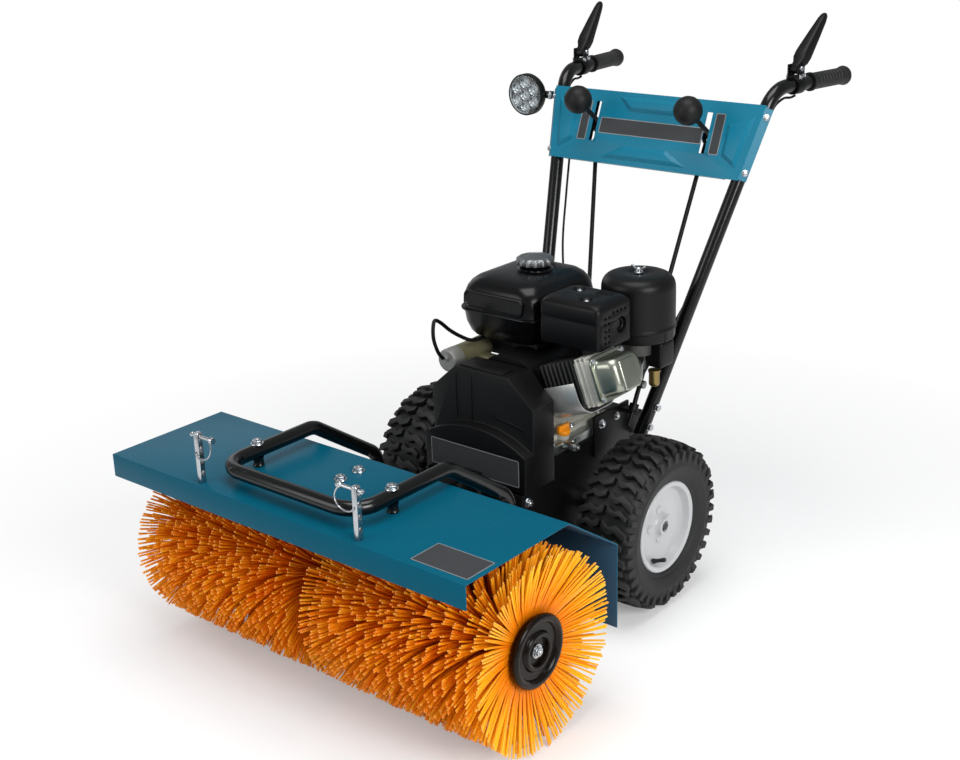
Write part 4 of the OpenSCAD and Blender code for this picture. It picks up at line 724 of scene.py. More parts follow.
def hex_bolt(at: Point, axis: Axis, size: float, flip: bool = False) -> Piece:
    """Makes a hexagon bolt's head on its washer.

    Args:
        at: Its seat.
        axis: The way that it points.
        size: Thread diameter.
        flip: Whether it points the other way.

    Returns:
        The bolt.
    """
    washer = Piece.turned([(0, 0), (size * 1.12, 0), (size * 1.16, size * 0.06), (size * 1.1, size * 0.2),
                           (0, size * 0.2)], steps=28)
    outline = [(size * 0.94 * math.cos(math.pi * k / 3), size * 0.94 * math.sin(math.pi * k / 3))
               for k in range(6)]
    head = Piece.plate(outline, size * 0.55, (0, 0, size * 0.18)).bevelled(size * 0.1, 2)
    tip = Piece.turned([(0, size * 0.7), (size * 0.45, size * 0.7), (size * 0.45, size * 0.86),
                        (size * 0.36, size * 0.95), (0, size * 0.95)], steps=20)
    made = washer.joined(head, tip)
    turn = Euler(axis.value).to_matrix().to_4x4()
    over = Matrix.Rotation(math.pi, 4, "X") if flip else Matrix.Identity(4)
    return made.placed(Matrix.Translation(at) @ turn @ over)


@dataclass
class Brush:
    """The spinning brush: two halves of strands, their end plates and bolts."""

    axis_y: float = -523.0
    axis_z: float = 175.0
    inner_x: float = 46.0
    outer_x: float = 386.0
    root_r: float = 42.0
    tip_r: float = 174.6
    strand: float = 2.8
    rows: int = 20
    tufts: int = 24
    per_tuft: int = 7
    outer_lean: float = 37.0
    inner_lean: float = 40.0
    outer_reach: float = 35.2
    inner_reach: float = 33.0
    end_gap: float = 4.0
    stations: tuple = (0.0, 0.4, 0.75, 1.0)
    tuft_scatter: float = 2.6
    short_share: float = 0.08
    short_by: float = 7.0
    # Each strand's mix towards the deeper orange: the mean is painted shade on the front rows, the spread is
    # random variation; the outer rows at the ends are lightened as painted light, more at the right end,
    # which faces the key lamp
    shade_and_tone: tuple = (0.52, 0.13)
    painted_light_right: float = 0.42
    painted_light_left: float = 0.12
    seed: int = 7

    def strands(self, side: int) -> None:
        """Grows one half of the brush, strand by strand, each a tapered rod of four sides.

        Args:
            side: 1 for the right half, -1 for the left one.
        """
        draw = random.Random(self.seed + side)
        rods: list[list[Point]] = []
        shades_and_tones: list[float] = []
        pitch = (self.outer_x - self.inner_x - 2 * self.end_gap) / self.rows
        for row in range(self.rows):
            root_x = self.inner_x + self.end_gap + (row + 0.5) * pitch
            share = 2 * (row + 0.5) / self.rows - 1
            most = self.outer_lean if share > 0 else self.inner_lean
            lean = most * math.copysign(abs(share) ** 1.8, share)
            even = max(0.0, abs(share) - 0.6) / 0.4
            # Painted light: the outer rows at each end are lightened, more at the right end
            painted_light = 0.0 if share < 0 else self.painted_light_right if side > 0 else self.painted_light_left
            for k in range(self.tufts * self.per_tuft):
                tuft, place = divmod(k, self.per_tuft)
                if place == 0:
                    tuft_x = draw.gauss(0, self.tuft_scatter)
                    tuft_turn = draw.gauss(0, 0.02)
                    tuft_cut = draw.uniform(0, 3.5)
                spread = (0.66 + 0.34 * even) * ((place + 0.5) / self.per_tuft - 0.5)
                step = tuft + 0.5 * (row % 2) + spread + draw.uniform(-0.03, 0.03)
                turn = 2 * math.pi * step / self.tufts
                length = self.tip_r - tuft_cut - draw.uniform(0, 2.5)
                length -= self.short_by if draw.random() < self.short_share else 0
                sway = tuft_turn * (1 - 0.5 * even) + draw.gauss(0, 0.01)
                drift = lean + tuft_x * (1 - 0.6 * abs(share)) + draw.gauss(0, 2.0)
                tip_x = min(max(root_x + drift, self.inner_x - self.inner_reach),
                            self.outer_x + self.outer_reach - draw.uniform(0, 5))
                bow = draw.gauss(0, 1.4)
                spin = draw.uniform(0, math.pi / 2)
                # Random variation around a mean of painted shade, less painted light on the ends' outer rows
                shade = min(max(draw.gauss(*self.shade_and_tone) - painted_light * even, 0.0), 0.85)
                rods.append(self.rod((side * root_x, side * tip_x), length, (turn, sway), side * bow, spin))
                shades_and_tones.append(shade)
        word = "right" if side > 0 else "left"
        made = self.bundle(rods, shades_and_tones)
        made.done(f"strands_{word}", BRISTLE, "brush", "bristle_plastic", [f"bristles_{word}"], 20)

    def rod(self, ends: Point, length: float, turns: Point, bow: float, spin: float) -> list[Point]:
        """Returns one strand's corner points, ring by ring from its root.

        Args:
            ends: Where its root and its tip lie along the brush.
            length: The tip's distance from the brush's axis.
            turns: The root's angle round the axis, and how far the tip trails it.
            bow: How far its middle is bent along the brush.
            spin: The turn of its square section.
        """
        made: list[Point] = []
        for t in self.stations:
            radius = self.root_r + (length - self.root_r) * t
            angle = turns[0] + turns[1] * t * t
            half = self.strand / 2 * (1.06 - 0.1 * t)
            x = ends[0] + (ends[1] - ends[0]) * t ** 1.25 + bow * math.sin(math.pi * t)
            for corner in range(4):
                a = spin + math.pi / 2 * corner
                across = half * 1.41 * math.cos(a) * math.copysign(1, ends[0])
                out = half * 1.41 * math.sin(a)
                made.append((x + across,
                             self.axis_y + radius * math.cos(angle) - out * math.sin(angle),
                             self.axis_z + radius * math.sin(angle) + out * math.cos(angle)))
        return made

    def bundle(self, rods: Sequence[Sequence[Point]], shades_and_tones: Sequence[float]) -> Piece:
        """Skins every strand, and keeps how far along it each point lies and the strand's mix of painted
        shade and random variation.
        """
        right = rods[0][0][0] > 0
        count = 4 * len(self.stations)
        faces: list[tuple[int, ...]] = []
        for first in range(0, count * len(rods), count):
            for start in range(first, first + count - 4, 4):
                for corner in range(4):
                    a, b = start + corner, start + (corner + 1) % 4
                    faces.append((a, b, b + 4, a + 4) if right else (b, a, a + 4, b + 4))
            cap = tuple(range(first + count - 4, first + count))
            foot = tuple(range(first + 3, first - 1, -1))
            faces += [cap, foot] if right else [cap[::-1], foot[::-1]]
        mesh = bpy.data.meshes.new("strands")
        mesh.from_pydata([point for rod in rods for point in rod], [], faces)
        along = [t for t in self.stations for _ in range(4)] * len(rods)
        shade_and_tone = [shade for shade in shades_and_tones for _ in range(count)]
        for key, values in (("along", along), ("shade_and_tone", shade_and_tone)):
            mesh.attributes.new(key, "FLOAT", "POINT").data.foreach_set("value", values)
        obj = bpy.data.objects.new("strands", mesh)
        bpy.context.scene.collection.objects.link(obj)
        return Piece(obj)

    def end_plates(self) -> None:
        """Presses the two ringed end plates and sets a bolt in each."""
        profile = [(12.1, 0), (61, 0), (64, 2), (65, 5.5), (64, 9), (60.5, 11.6), (56, 12), (52, 10.6),
                   (49.5, 7), (48.4, 4.6), (42, 4), (36, 4.4), (34.6, 6), (33.4, 9), (31, 10.4), (28, 10.4),
                   (25.6, 9), (24.6, 5), (24, 2.6), (14, 2.2), (12.1, 2.2)]
        at = (self.outer_x + 0.2, self.axis_y, self.axis_z)
        plate = Piece.turned(profile, at, Axis.X, 72, closed=True)
        plate.both_sides().done("end_plates_pressed", DISC_BROWN, "brush", "black_paint", ["end_plates"], 38)
        bolt = hex_bolt((self.outer_x + 5.2, self.axis_y, self.axis_z), Axis.X, 8.5)
        small = Piece.turned([(0, 0), (12, 0), (12, 3), (0, 3)],
                             (self.outer_x + 2.4, self.axis_y, self.axis_z), Axis.X)
        bolt.joined(small).both_sides().done("end_plate_bolts", ZINC, "brush", "zinc_steel")

    def build(self) -> None:
        """Builds the whole brush."""
        for side in (1, -1):
            self.strands(side)
        self.end_plates()
        dress("brush_shaft", MACHINED)
        dress("brush_drums", BLACK_COAT)
        dress("worm_wheel", BRONZE)


def blank_plate(name: str, width: float, height: float, matrix: Matrix, body: str) -> None:
    """Fixes a thin grey plate with a pale border and nothing on it.

    Args:
        name: The piece's name.
        width: Size along its own X.
        height: Size along its own Y.
        matrix: Where its middle goes, with its own +Z outwards.
        body: The CAD body that it rides on.
    """
    made = Piece.plate(round_box(width, height, 2.5, 3), 0.5)
    with edit_mode(made.obj):
        pick_faces(made.obj, lambda c, n: n.z > 0.9)
        bpy.ops.mesh.inset(thickness=1.6)
        bpy.ops.mesh.extrude_region_move(TRANSFORM_OT_translate={"value": (0, 0, -0.15)})
    border = 2.7
    kept = [face.index for face in made.obj.data.polygons
            if abs(face.center.x) < width / 2 - border and abs(face.center.y) < height / 2 - border]
    made.placed(matrix)
    obj = made.done(name, PLATE_EDGE, body, "black_paint")
    obj.data.materials.append(PLATE_GREY.material())
    for index in kept:
        obj.data.polygons[index].material_index = 1


@dataclass
class BrushHead:
    """The swivelling head: hood, guard tube, posts, pins and bolts."""

    hood_top: float = 388.0
    guard_x: float = 160.0
    guard_z: float = 416.5
    guard_r: float = 13.0
    guard_bend: float = 48.0
    guard_front: float = -684.0
    foot_y: float = -600.0
    post_x: float = 186.0
    post_y: float = -706.5
    post_h: float = 92.0
    top_hole: float = 85.0
    hole_pitch: float = 22.0
    body: str = "brush_head"

    @staticmethod
    def _inside(place: Vector, normal: Vector) -> bool:
        """Says whether a face of the hood looks inwards, where the painted shade goes."""
        if normal.z < -0.25:
            return True
        return (normal.y > 0.9 and place.y < -700) or (normal.y < -0.9 and place.y > -400)

    def hood(self) -> None:
        """Folds the hood's sheet, with soft bends and painted shade on its inward faces."""
        made = Piece.copy_of("hood").bevelled(0.9, 2, 18)
        # Painted shade on the faces that look inwards
        made.paint(HOOD_INSIDE_SHADE, self._inside)
        made.done("hood_sheet", TEAL, self.body, "teal_paint", ["hood"])
        place = Matrix.Translation((350.5, -674.5, self.hood_top + 0.02))
        blank_plate("hood_plate", 113, 66, place, self.body)

    def guard(self) -> None:
        """Bends the guard tube and stands it on its spacers."""
        half = [(self.guard_x, -303, 277.2), (self.guard_x, -303, 307), (self.guard_x, -465, self.guard_z),
                (self.guard_x, self.guard_front, self.guard_z)]
        corners = half + [(-x, y, z) for x, y, z in reversed(half)]
        tube = Piece.tube(bent_line(corners, self.guard_bend, 10), self.guard_r, 6)
        foot = Piece.turned([(5.5, 0), (10, 0), (10.5, 2), (9, 4), (9, 13), (10, 17), (5.5, 17)],
                            (self.guard_x, self.foot_y, self.hood_top + 0.1), closed=True)
        tube.joined(foot.both_sides()).done("guard_tube_bent", TUBE_BLACK, self.body, "black_paint",
                                            ["guard_tube"], 40)

    def fasteners(self) -> None:
        """Sets the hood's bolts and the guard's."""
        bolts = [hex_bolt((0, y, self.hood_top + 0.1), Axis.Z, 10) for y in (-559, -515)]
        bolts += [hex_bolt((s * self.guard_x, self.foot_y, self.guard_z + self.guard_r - 0.6), Axis.Z, 10)
                  for s in (1, -1)]
        Piece.group(bolts).done("hood_bolts_hex", ZINC, self.body, "zinc_steel", ["hood_bolts"])

    def posts(self) -> None:
        """Makes the drilled posts and the snap pins that hang in their top holes."""
        levels = [(11, 13, 3.2, 0.1), (11, 13, 3.2, self.post_h - 2.5), (9.6, 11.6, 2.6, self.post_h - 0.6),
                  (7.5, 9.5, 2.2, self.post_h)]
        post = Piece.stacked(levels, (self.post_x, self.post_y, self.hood_top), 4)
        post.cut(*[Piece.turned([(0, -12), (4.1, -12), (4.1, 12), (0, 12)],
                                (self.post_x, self.post_y, self.hood_top
                                 + self.top_hole - k * self.hole_pitch), Axis.X, 20) for k in range(4)])
        post.bevelled(0.5, 2, 40)
        post.both_sides().done("posts_drilled", ZINC, self.body, "zinc_steel", ["accessory_posts"])
        z = self.hood_top + self.top_hole
        rod = Piece.turned([(0, -40), (5.4, -40), (6, -38.5), (6, -33.5), (5, -32), (3.1, -31), (3.1, 11),
                            (4.4, 12.5), (4.4, 15), (2.6, 17), (0, 17.4)], (self.post_x, self.post_y, z),
                           Axis.X, 24)
        bow = ((-35, -4, -2), (-40, -7, -12), (-38, -9, -24), (-28, -10, -33), (-14, -10, -36),
               (-3, -9, -33), (1, -7.6, -27))
        ring = [(self.post_x + x, self.post_y + y, z + h) for x, y, h in bow]
        rod.joined(Piece.tube(smooth_line(ring, 4), 1.4, 2))
        rod.flipped().done("snap_pin_left", ZINC, "pin_left", "zinc_steel", ["hitch_pin_left"])
        rod.done("snap_pin_right", ZINC, "pin_right", "zinc_steel", ["hitch_pin_right"])

    def build(self) -> None:
        """Builds the whole head."""
        self.hood()
        self.guard()
        self.fasteners()
        self.posts()
        refine("gearbox_housing", IRON, self.body, "dark_iron", 1.5)
        refine("swivel_yoke", BLACK_COAT, self.body, "black_paint", 1.5)


@dataclass
class Wheels:
    """Two lugged tyres on dished white rims."""

    centre_x: float = 255.0
    axle_z: float = 165.0
    tyre_r: float = 165.0
    half_w: float = 60.0
    pitches: int = 18
    body: str = "axle"
    lugs: tuple = (
        ((2, -6), (17, 4), (31, -3), (55, 10), (55, 25), (31, 12), (18, 18), (2, 9)),
        ((6, 22), (20, 31), (34, 26), (49, 36), (49, 45), (33, 37), (20, 43), (6, 35)))

    def carcass(self) -> Piece:
        """Spins the tyre's body with its bead, ribs and shoulders."""
        half = [(82, -45), (90, -46.5), (94, -49.5), (97, -51), (99, -51), (101, -53), (108, -56),
                (118, -58.6), (121, -59.6), (124, -59.6), (126, -58.8), (134, -59), (142, -56), (148, -50.5),
                (151, -44), (152.4, -34), (153, -20)]
        profile = half + [(r, -x) for r, x in reversed(half)]
        inner = [(100, 38), (140, 44), (148, 0), (140, -44), (100, -38)]
        return Piece.turned(profile + inner, (0, 0, 0), Axis.X, 96, closed=True)

    def tread(self) -> Piece:
        """Lays the zigzag lugs and shoulder blocks flat, then wraps them round the tyre."""
        pitch = 2 * math.pi * self.tyre_r / self.pitches
        blocks = [Piece.plate(lug, 14).bevelled(1.1, 2) for lug in self.lugs]
        for shift in (0.12, 0.62):
            outline = [(50, pitch * shift), (60.5, pitch * shift + 3), (60.5, pitch * shift + 15),
                       (50, pitch * shift + 17)]
            blocks.append(Piece.plate(outline, 22, (0, 0, -15)).bevelled(1.2, 2))
        one = Piece.group(blocks)
        one.joined(one.flipped().placed(Matrix.Translation((0, pitch / 2, 0))))
        made = one.repeated([Matrix.Translation((0, pitch * i, 0)) for i in range(self.pitches)])
        for vert in made.obj.data.vertices:
            across, along, height = vert.co
            crown = self.tyre_r - 14 - 7 * (abs(across) / self.half_w) ** 3
            radius = crown + height
            if abs(across) > 58:
                across = math.copysign(60.2 - max(0.0, 148 - radius) * 0.05, across)
            turn = along / self.tyre_r
            vert.co = (across, radius * math.cos(turn), radius * math.sin(turn))
        return made

    def tyre(self) -> None:
        """Builds one tyre and its twin."""
        made = self.carcass().joined(self.tread())
        places = [Matrix.Translation((s * self.centre_x, 0, self.axle_z)) for s in (1, -1)]
        made.repeated(places).done("tyres_lugged", TYRE_RUBBER, self.body, "tyre_rubber", ["tyres"], 40)

    def rim(self) -> None:
        """Spins the dished rims, with a hub boss, dimples, and a valve in each."""
        profile = [(10.1, -34), (19, -34), (20, -32), (20, 20), (26, 23), (34, 22), (44, 24), (62, 28),
                   (70, 26), (75, 19), (77, 9), (77.5, -42), (80, -47.5), (85, -49.5), (89, -49),
                   (90.8, -46.5), (90, -45.6), (81.8, -45.4), (81.8, 45.4), (90, 45.6), (90.8, 46.5),
                   (89, 49), (85, 49.5), (80.5, 47.5), (78.6, 43), (77.6, 36.5), (75, 32.4), (70, 31.4),
                   (62, 33), (44, 29), (35, 27.4), (28, 28.4), (22, 31), (17.4, 36), (16, 43.6), (15, 44.2),
                   (11.6, 44.2), (10.6, 43), (10.1, 40)]
        rim = Piece.turned(profile, (0, 0, 0), Axis.X, 72, closed=True)
        knob = Piece.turned([(0, -2), (9, -2), (8.4, 1.6), (6.4, 3), (3.4, 2.2), (0, 1.4)], (28.4, 0, 30),
                            Axis.X, 24)
        rim.joined(knob.around(4, (0, 0, 0), "X"))
        places = [Matrix.Translation((self.centre_x, 0, self.axle_z)),
                  Matrix.Translation((-self.centre_x, 0, self.axle_z)) @ Matrix.Rotation(math.pi, 4, "Z")]
        # Painted shade: a thin black disc at the mouth of each hub's bore stands for the dark inside it
        bore_shade_disc = Piece.turned([(0, 0), (6.4, 0), (7, 0.3), (7, 0.6), (0, 0.6)], (44.3, 0, 0), Axis.X, 28)
        bore_shade_disc.repeated(places).done("hub_bore_painted_shade", TUBE_BLACK, self.body, "black_paint")
        rim.repeated(places).done("rims_dished", WHITE_COAT, self.body, "white_paint", ["rims"], 35)
        valve = Piece.turned([(0, 0), (5, 0), (5.4, 3), (4, 6), (3.6, 18), (4.3, 19), (4.3, 26), (3, 28),
                              (0, 28)], steps=20)
        valve.placed(Matrix.Translation((36, -30, -64)) @ Matrix.Rotation(math.radians(70), 4, "Y")
                     @ Matrix.Rotation(math.radians(-8), 4, "X"))
        valve.repeated(places).done("valve_stems", GRIP_RUBBER, self.body, "grip_rubber")

    def build(self) -> None:
        """Builds tyres, rims and axle."""
        self.tyre()
        self.rim()
        dress("drive_axle", MACHINED)
        dress("axle_bearings", MACHINED)


@dataclass
class Chassis:
    """The black chassis box, the belt cover and the engine's bed."""

    cover_front: float = -206.0
    cover_step: float = -180.0
    cover_back: float = -114.5
    body: str = "chassis"

    def cover(self) -> None:
        """Moulds the belt cover with its ribs, arch and creases."""
        made = Piece.copy_of("belt_cover").bevelled(2.2, 3)
        ribs = [Piece.block((x - 0.9, self.cover_step - 1.6, 366), (x + 0.9, self.cover_step + 1, 458))
                for x in (-62, -24)]
        ribs.append(Piece.plate([(14, 392), (104, 378), (104, 372), (14, 389)], 2.6,
                                (0, self.cover_step + 0.5, 0), (90, 0, 0)))
        ribs.append(Piece.block((-58, self.cover_step + 8, 468.5), (46, self.cover_back - 22, 473)))
        ribs = [r.bevelled(0.7, 2) for r in ribs]
        made.joined(*ribs).done("belt_cover_moulded", BLACK_PLASTIC, self.body, "black_paint",
                                ["belt_cover"])
        place = Matrix.Translation((0, self.cover_front - 0.02, 297)) @ Matrix.Rotation(math.pi / 2, 4, "X")
        blank_plate("cover_plate", 216, 54, place, self.body)

    def fasteners(self) -> None:
        """Sets the bolts along the chassis."""
        made = []
        for s in (1, -1):
            for y, z, size in ((-196, 240, 9), (-150, 150, 6), (-90, 132, 6), (36, 324, 8), (88, 324, 7)):
                x = s * (120.2 if y < 0 else 124.2)
                made.append(hex_bolt((x, y, z), Axis.X, size, flip=s < 0))
        made += [hex_bolt((s * 88, -214.2, 240), Axis.Y, 8, flip=True) for s in (1, -1)]
        Piece.group(made).done("chassis_bolts", ZINC, self.body, "zinc_steel")

    def build(self) -> None:
        """Builds the chassis."""
        refine("chassis_frame", BLACK_COAT, self.body, "black_paint", 1.4)
        self.cover()
        self.fasteners()
        refine("engine_bed", ZINC_SHEET, self.body, "zinc_steel", 1.0)
        refine("handle_fasteners", ZINC, self.body, "zinc_steel", 0.6)
        for node in ("brush_belt", "traction_belt"):
            dress(node, BELT_RUBBER)
        for node in ("crankshaft", "input_shaft", "worm_shaft", "friction_disc", "hex_shaft"):
            dress(node, MACHINED)


@dataclass
class Engine:
    """The petrol engine and everything bolted to it."""

    crank_z: float = 395.0
    tilt: float = 20.0
    cyl_y: float = -50.0
    shield_bolts: tuple = ((104.0, -6.0), (154.0, -54.0))
    tank_at: tuple = (-52.0, 38.0, 488.0)
    cap_at: tuple = (-45.0, 50.0)
    cap_lobes: int = 14
    outlet: tuple = (-8.0, 555.0)
    cleaner_at: tuple = (153.0, 119.0, 490.0)
    nut_z: float = 617.2
    starter_x: float = -122.0
    valve_z: float = 218.0
    lead_route: tuple = ((-122, -146.8, 463), (-123, -160, 480), (-128, -166, 510), (-130, -160, 540),
                         (-128, -146, 536), (-124, -122, 514), (-118, -98, 496), (-108, -76, 484),
                         (-100, -46, 484))
    rope_ends: tuple = ((7.5, 154, 392.3), (-56.4, 154, 415.5))
    body: str = "chassis"

    @property
    def cylinder_frame(self) -> Matrix:
        """Where the cylinder's own frame lies: +Z along its axis, from the crankshaft."""
        lean = Matrix.Rotation(math.radians(90 - self.tilt), 4, "Y")
        return Matrix.Translation((0, self.cyl_y, self.crank_z)) @ lean

    def tank(self) -> None:
        """Blows the fuel tank: domed shell, seam flange, framed front and neck."""
        x, y, low = self.tank_at
        levels = [(146, 178, 30, 0), (158, 190, 32, 2), (170, 202, 34, 10), (184, 214, 36, 28),
                  (190, 220, 36, 52), (191, 221, 36, 53.6), (201, 229, 40, 54), (202, 230, 40, 55),
                  (202, 230, 40, 57), (201, 229, 40, 58), (192, 222, 37, 58.4), (191, 221, 37, 74),
                  (187, 217, 38, 88), (179, 209, 38, 100), (167, 197, 38, 109.5), (149, 179, 36, 116.6),
                  (122, 152, 32, 121), (88, 118, 26, 123.6), (44, 66, 16, 124.6)]
        shell = Piece.stacked(levels, self.tank_at, 8)
        framed = [(146, 36, 11, -8), (146, 36, 11, 0.6), (144.8, 34.8, 10.6, 1.9), (142.4, 32.4, 9.8, 2.4),
                  (137.6, 27.6, 8, 2.2), (135.6, 25.6, 7.2, 0.6), (134.4, 24.4, 6.8, -0.3),
                  (130, 20, 5.4, -0.5)]
        face = Piece.loft([[(x - 2 + px, y - 111.2 - out + 0.12 * abs(pz) * (pz > 0), low + 79 + pz)
                            for px, pz in round_box(w, h, r, 5)] for w, h, r, out in framed])
        neck = Piece.turned([(0, 100), (46, 100), (45, 114), (42, 119), (37.6, 123.4), (33, 126.6),
                             (30, 128.6), (25, 129.6), (0, 129.6)], (*self.cap_at, low), steps=48)
        shell.joined(face, neck).done("fuel_tank_blown", TANK_PLASTIC, self.body, "black_plastic",
                                      ["fuel_tank"])

    def cap(self) -> None:
        """Presses the scalloped fuel cap."""
        def ring(radius: float, depth: float, z: float) -> list[tuple[float, float, float]]:
            count = 12 * self.cap_lobes
            turns = [2 * math.pi * k / count for k in range(count)]
            waves = [radius + depth * math.cos(self.cap_lobes * a) for a in turns]
            return [(self.cap_at[0] + w * math.cos(a), self.cap_at[1] + w * math.sin(a), z)
                    for a, w in zip(turns, waves)]
        levels = [(33.5, 0, 620.4), (35, 1.0, 620.8), (36.2, 1.6, 622), (36.2, 1.6, 630), (35.4, 1.2, 632.4),
                  (33, 0.5, 634.6), (30, 0.2, 635.8), (27.6, 0, 636.1), (26.6, 0, 635.3), (20, 0, 635.8),
                  (10, 0, 637.2), (2, 0, 637.6)]
        Piece.loft([ring(*level) for level in levels]).done(
            "fuel_cap_pressed", SPUN_CAP, "fuel_cap", "bright_chrome", ["fuel_cap"], 40)

    def shield(self) -> None:
        """Presses the muffler's shield: rolled edges, a swage in front, vents and the outlet."""
        low, high = (64.0, -82.0, 519.0), (200.0, 28.0, 607.0)
        mid = [(a + b) / 2 for a, b in zip(low, high)]
        levels = [(0, 10, 0), (0, 10, 46), (-0.8, 10, 49), (-0.8, 10, 51), (0, 10, 54), (0, 11, 74),
                  (-1.2, 13, 78.4), (-3.6, 15, 82), (-7.2, 17, 85), (-12, 18, 87.2), (-18, 18, 88)]
        made = Piece.stacked([(136 + 2 * g, 110 + 2 * g, radius, z) for g, radius, z in levels],
                             (mid[0], mid[1], low[2]), 7)
        vent = [(0, -10), (2.9, -10), (2.9, 10), (0, 10)]
        holes = [Piece.turned(vent, (200, -60 + 12.5 * i, 531 + 12 * k), Axis.X, 14) for i in range(2)
                 for k in range(5)]
        holes += [Piece.turned(vent, (200, -34 + 12.5 * k, 585), Axis.X, 14) for k in range(4)]
        holes.append(Piece.turned([(0, -14), (16, -14), (16, 12), (0, 12)], (200, *self.outlet), Axis.X, 36))
        holes += [Piece.turned([(0, -6), (10, -6), (11.5, -5), (15, 0.6), (15, 9), (0, 9)], (x, y, 607),
                               steps=32) for x, y in self.shield_bolts]
        made.cut(*holes).bevelled(0.5, 2, 40)
        pipe = Piece.turned([(9.5, -8), (12.5, -8), (13, 5), (11.5, 7.5), (9.5, 6)], (189, *self.outlet),
                            Axis.X, 32, closed=True)
        inner = Piece.turned([(0, 0), (9.6, 0), (9.6, 1.5), (0, 1.5)], (182, *self.outlet), Axis.X, 24)
        groove = [Piece.block((142, y, 606.2), (178, y + 1.8, 607.8)).bevelled(0.6) for y in (-10, -4, 2, 8)]
        made.joined(pipe, inner, *groove)
        made.done("muffler_shield_pressed", BLACK_COAT, self.body, "black_paint", ["muffler_shield"], 38)
        bolts = [hex_bolt((x, y, 601.1), Axis.Z, 6) for x, y in self.shield_bolts]
        Piece.group(bolts).done("shield_bolts", ZINC, self.body, "zinc_steel")
        refine("muffler", IRON, self.body, "cast_aluminium", 2.0)

    def cleaner(self) -> None:
        """Moulds the air cleaner's cover and base, with its wing nut and clip."""
        body = [(0, 0), (64, 0), (70, 1.5), (72, 5), (72.4, 19), (72.8, 21), (73.9, 22), (73.9, 27),
                (73, 29), (72.8, 32), (72.4, 90), (72, 104)]
        body += [(48.6 + r, 104 + h) for r, h in arc((0, 0), 23, 0, 82, 8)]
        body += [(36, 128.6), (24, 127.8), (18, 126.6), (17, 125.8), (0, 125.8)]
        cover = Piece.turned(body, self.cleaner_at, steps=72)
        strap = Piece.block((212, 104, 492), (225, 134, 517)).bevelled(2.5, 3)
        elbow = Piece.block((184, 98, 438), (221, 146, 491)).bevelled(7, 4)
        cover.joined(strap, elbow).done("air_cleaner_moulded", BLACK_PLASTIC, self.body, "black_plastic",
                                        ["air_cleaner"], 40)
        x, y, _ = self.cleaner_at
        nut = Piece.turned([(0, 0), (9, 0), (9, 1.5), (6.5, 2.5), (5.5, 9), (3, 11), (0, 11)],
                           (x, y, self.nut_z), steps=24)
        wing = Piece.plate([(4, 2), (10, 4), (17, 12), (16, 15), (12, 14.5), (4, 8)], 2.4,
                           (x, y + 1.2, self.nut_z), (90, 0, 0)).bevelled(0.7)
        turned = Matrix.Translation((2 * x, 2 * y, 0)) @ Matrix.Rotation(math.pi, 4, "Z")
        twin = wing.copied().placed(turned)
        nut.joined(wing, twin).done("wing_nut", ZINC, self.body, "zinc_steel")

    def cylinder(self) -> None:
        """Casts the cylinder, its head and the crankcase, with the black tins round them."""
        refine("engine_barrel", IRON, self.body, "dark_iron", 0.8)
        refine("cylinder_head", HEAD_CAST, self.body, "cast_aluminium", 1.0)
        case = Piece.copy_of("crankcase").bevelled(2.0, 3)
        case.paint(BLACK_COAT, lambda c, n: c.z > 372)
        case.done("crankcase_cast", CASE_PALE, self.body, "cast_aluminium", ["crankcase"])
        levels = [(186, 164, 28, 96.5), (194, 172, 31, 95), (196, 174, 32, 91), (196, 174, 32, 64),
                  (192, 170, 30, 59.6), (184, 162, 27, 58.2)]
        blower = Piece.loft([[(-2 + px, y, 400 + pz) for px, pz in round_box(w, h, r)]
                             for w, h, r, y in levels])
        blower.done("blower_housing", BLACK_COAT, self.body, "black_paint")
        tin = Piece.block((-128, -14, 441), (-46, -11.4, 485)).bevelled(0.6)
        tin.done("engine_tin", BLACK_COAT, self.body, "black_paint")

    def valve_cover(self) -> None:
        """Stamps the valve cover and sets the engine's bolts."""
        z = self.valve_z
        levels = [(87, 105, 13, 0), (88, 106, 14, 0.8), (88, 106, 14, 4), (87, 105, 13, 5),
                  (75, 93, 14, 5.1), (72.6, 90.6, 14, 6.4), (71, 88, 15, 12), (69, 85, 16, 30),
                  (66, 82, 17, 37), (60, 76, 17, 42.4), (52, 68, 16, 45.2), (40, 56, 14, 46)]
        cover = Piece.stacked(levels, (0, 0, z))
        raised = Piece.stacked([(60, 52, 8, 40), (58, 50, 8, 46.4), (55, 47, 7, 48.2), (50, 42, 6, 49)],
                               (3, -2, z), 4)
        cover.joined(raised).placed(self.cylinder_frame).done(
            "valve_cover_stamped", BRIGHT_COVER, self.body, "bright_aluminium", ["valve_cover"], 40)
        bolts = [hex_bolt((x, y, z + 5.2), Axis.Z, 5) for x in (-37, 37) for y in (-45, 45)]
        heads = Piece.group(bolts).placed(self.cylinder_frame)
        feet = [hex_bolt((s * 91.5, y, 331.1), Axis.Z, 6) for s in (1, -1) for y in (-20, 70)]
        heads.joined(*feet).done("engine_bolts", ZINC, self.body, "zinc_steel", ["engine_fasteners"])

    def baffle(self) -> None:
        """Rolls the bright sheet that leads air under the cylinder."""
        side, corner, sheet, lip = 61.0, 38.0, 1.6, -6
        outer = [(lip, -side)] + arc((side - corner, corner - side), corner, -90, 0, 6)
        outer += arc((side - corner, side - corner), corner, 0, 90, 6) + [(lip, side)]
        inner = [(x if x == lip else x - sheet * (x > side - corner - 1),
                  y - math.copysign(sheet, y) * (abs(y) > side - corner)) for x, y in reversed(outer)]
        rolled = Piece.plate(outer + inner, 80, (0, 0, 97)).bevelled(0.5)
        rolled.placed(self.cylinder_frame).done("air_baffle", BAFFLE, self.body, "zinc_steel")

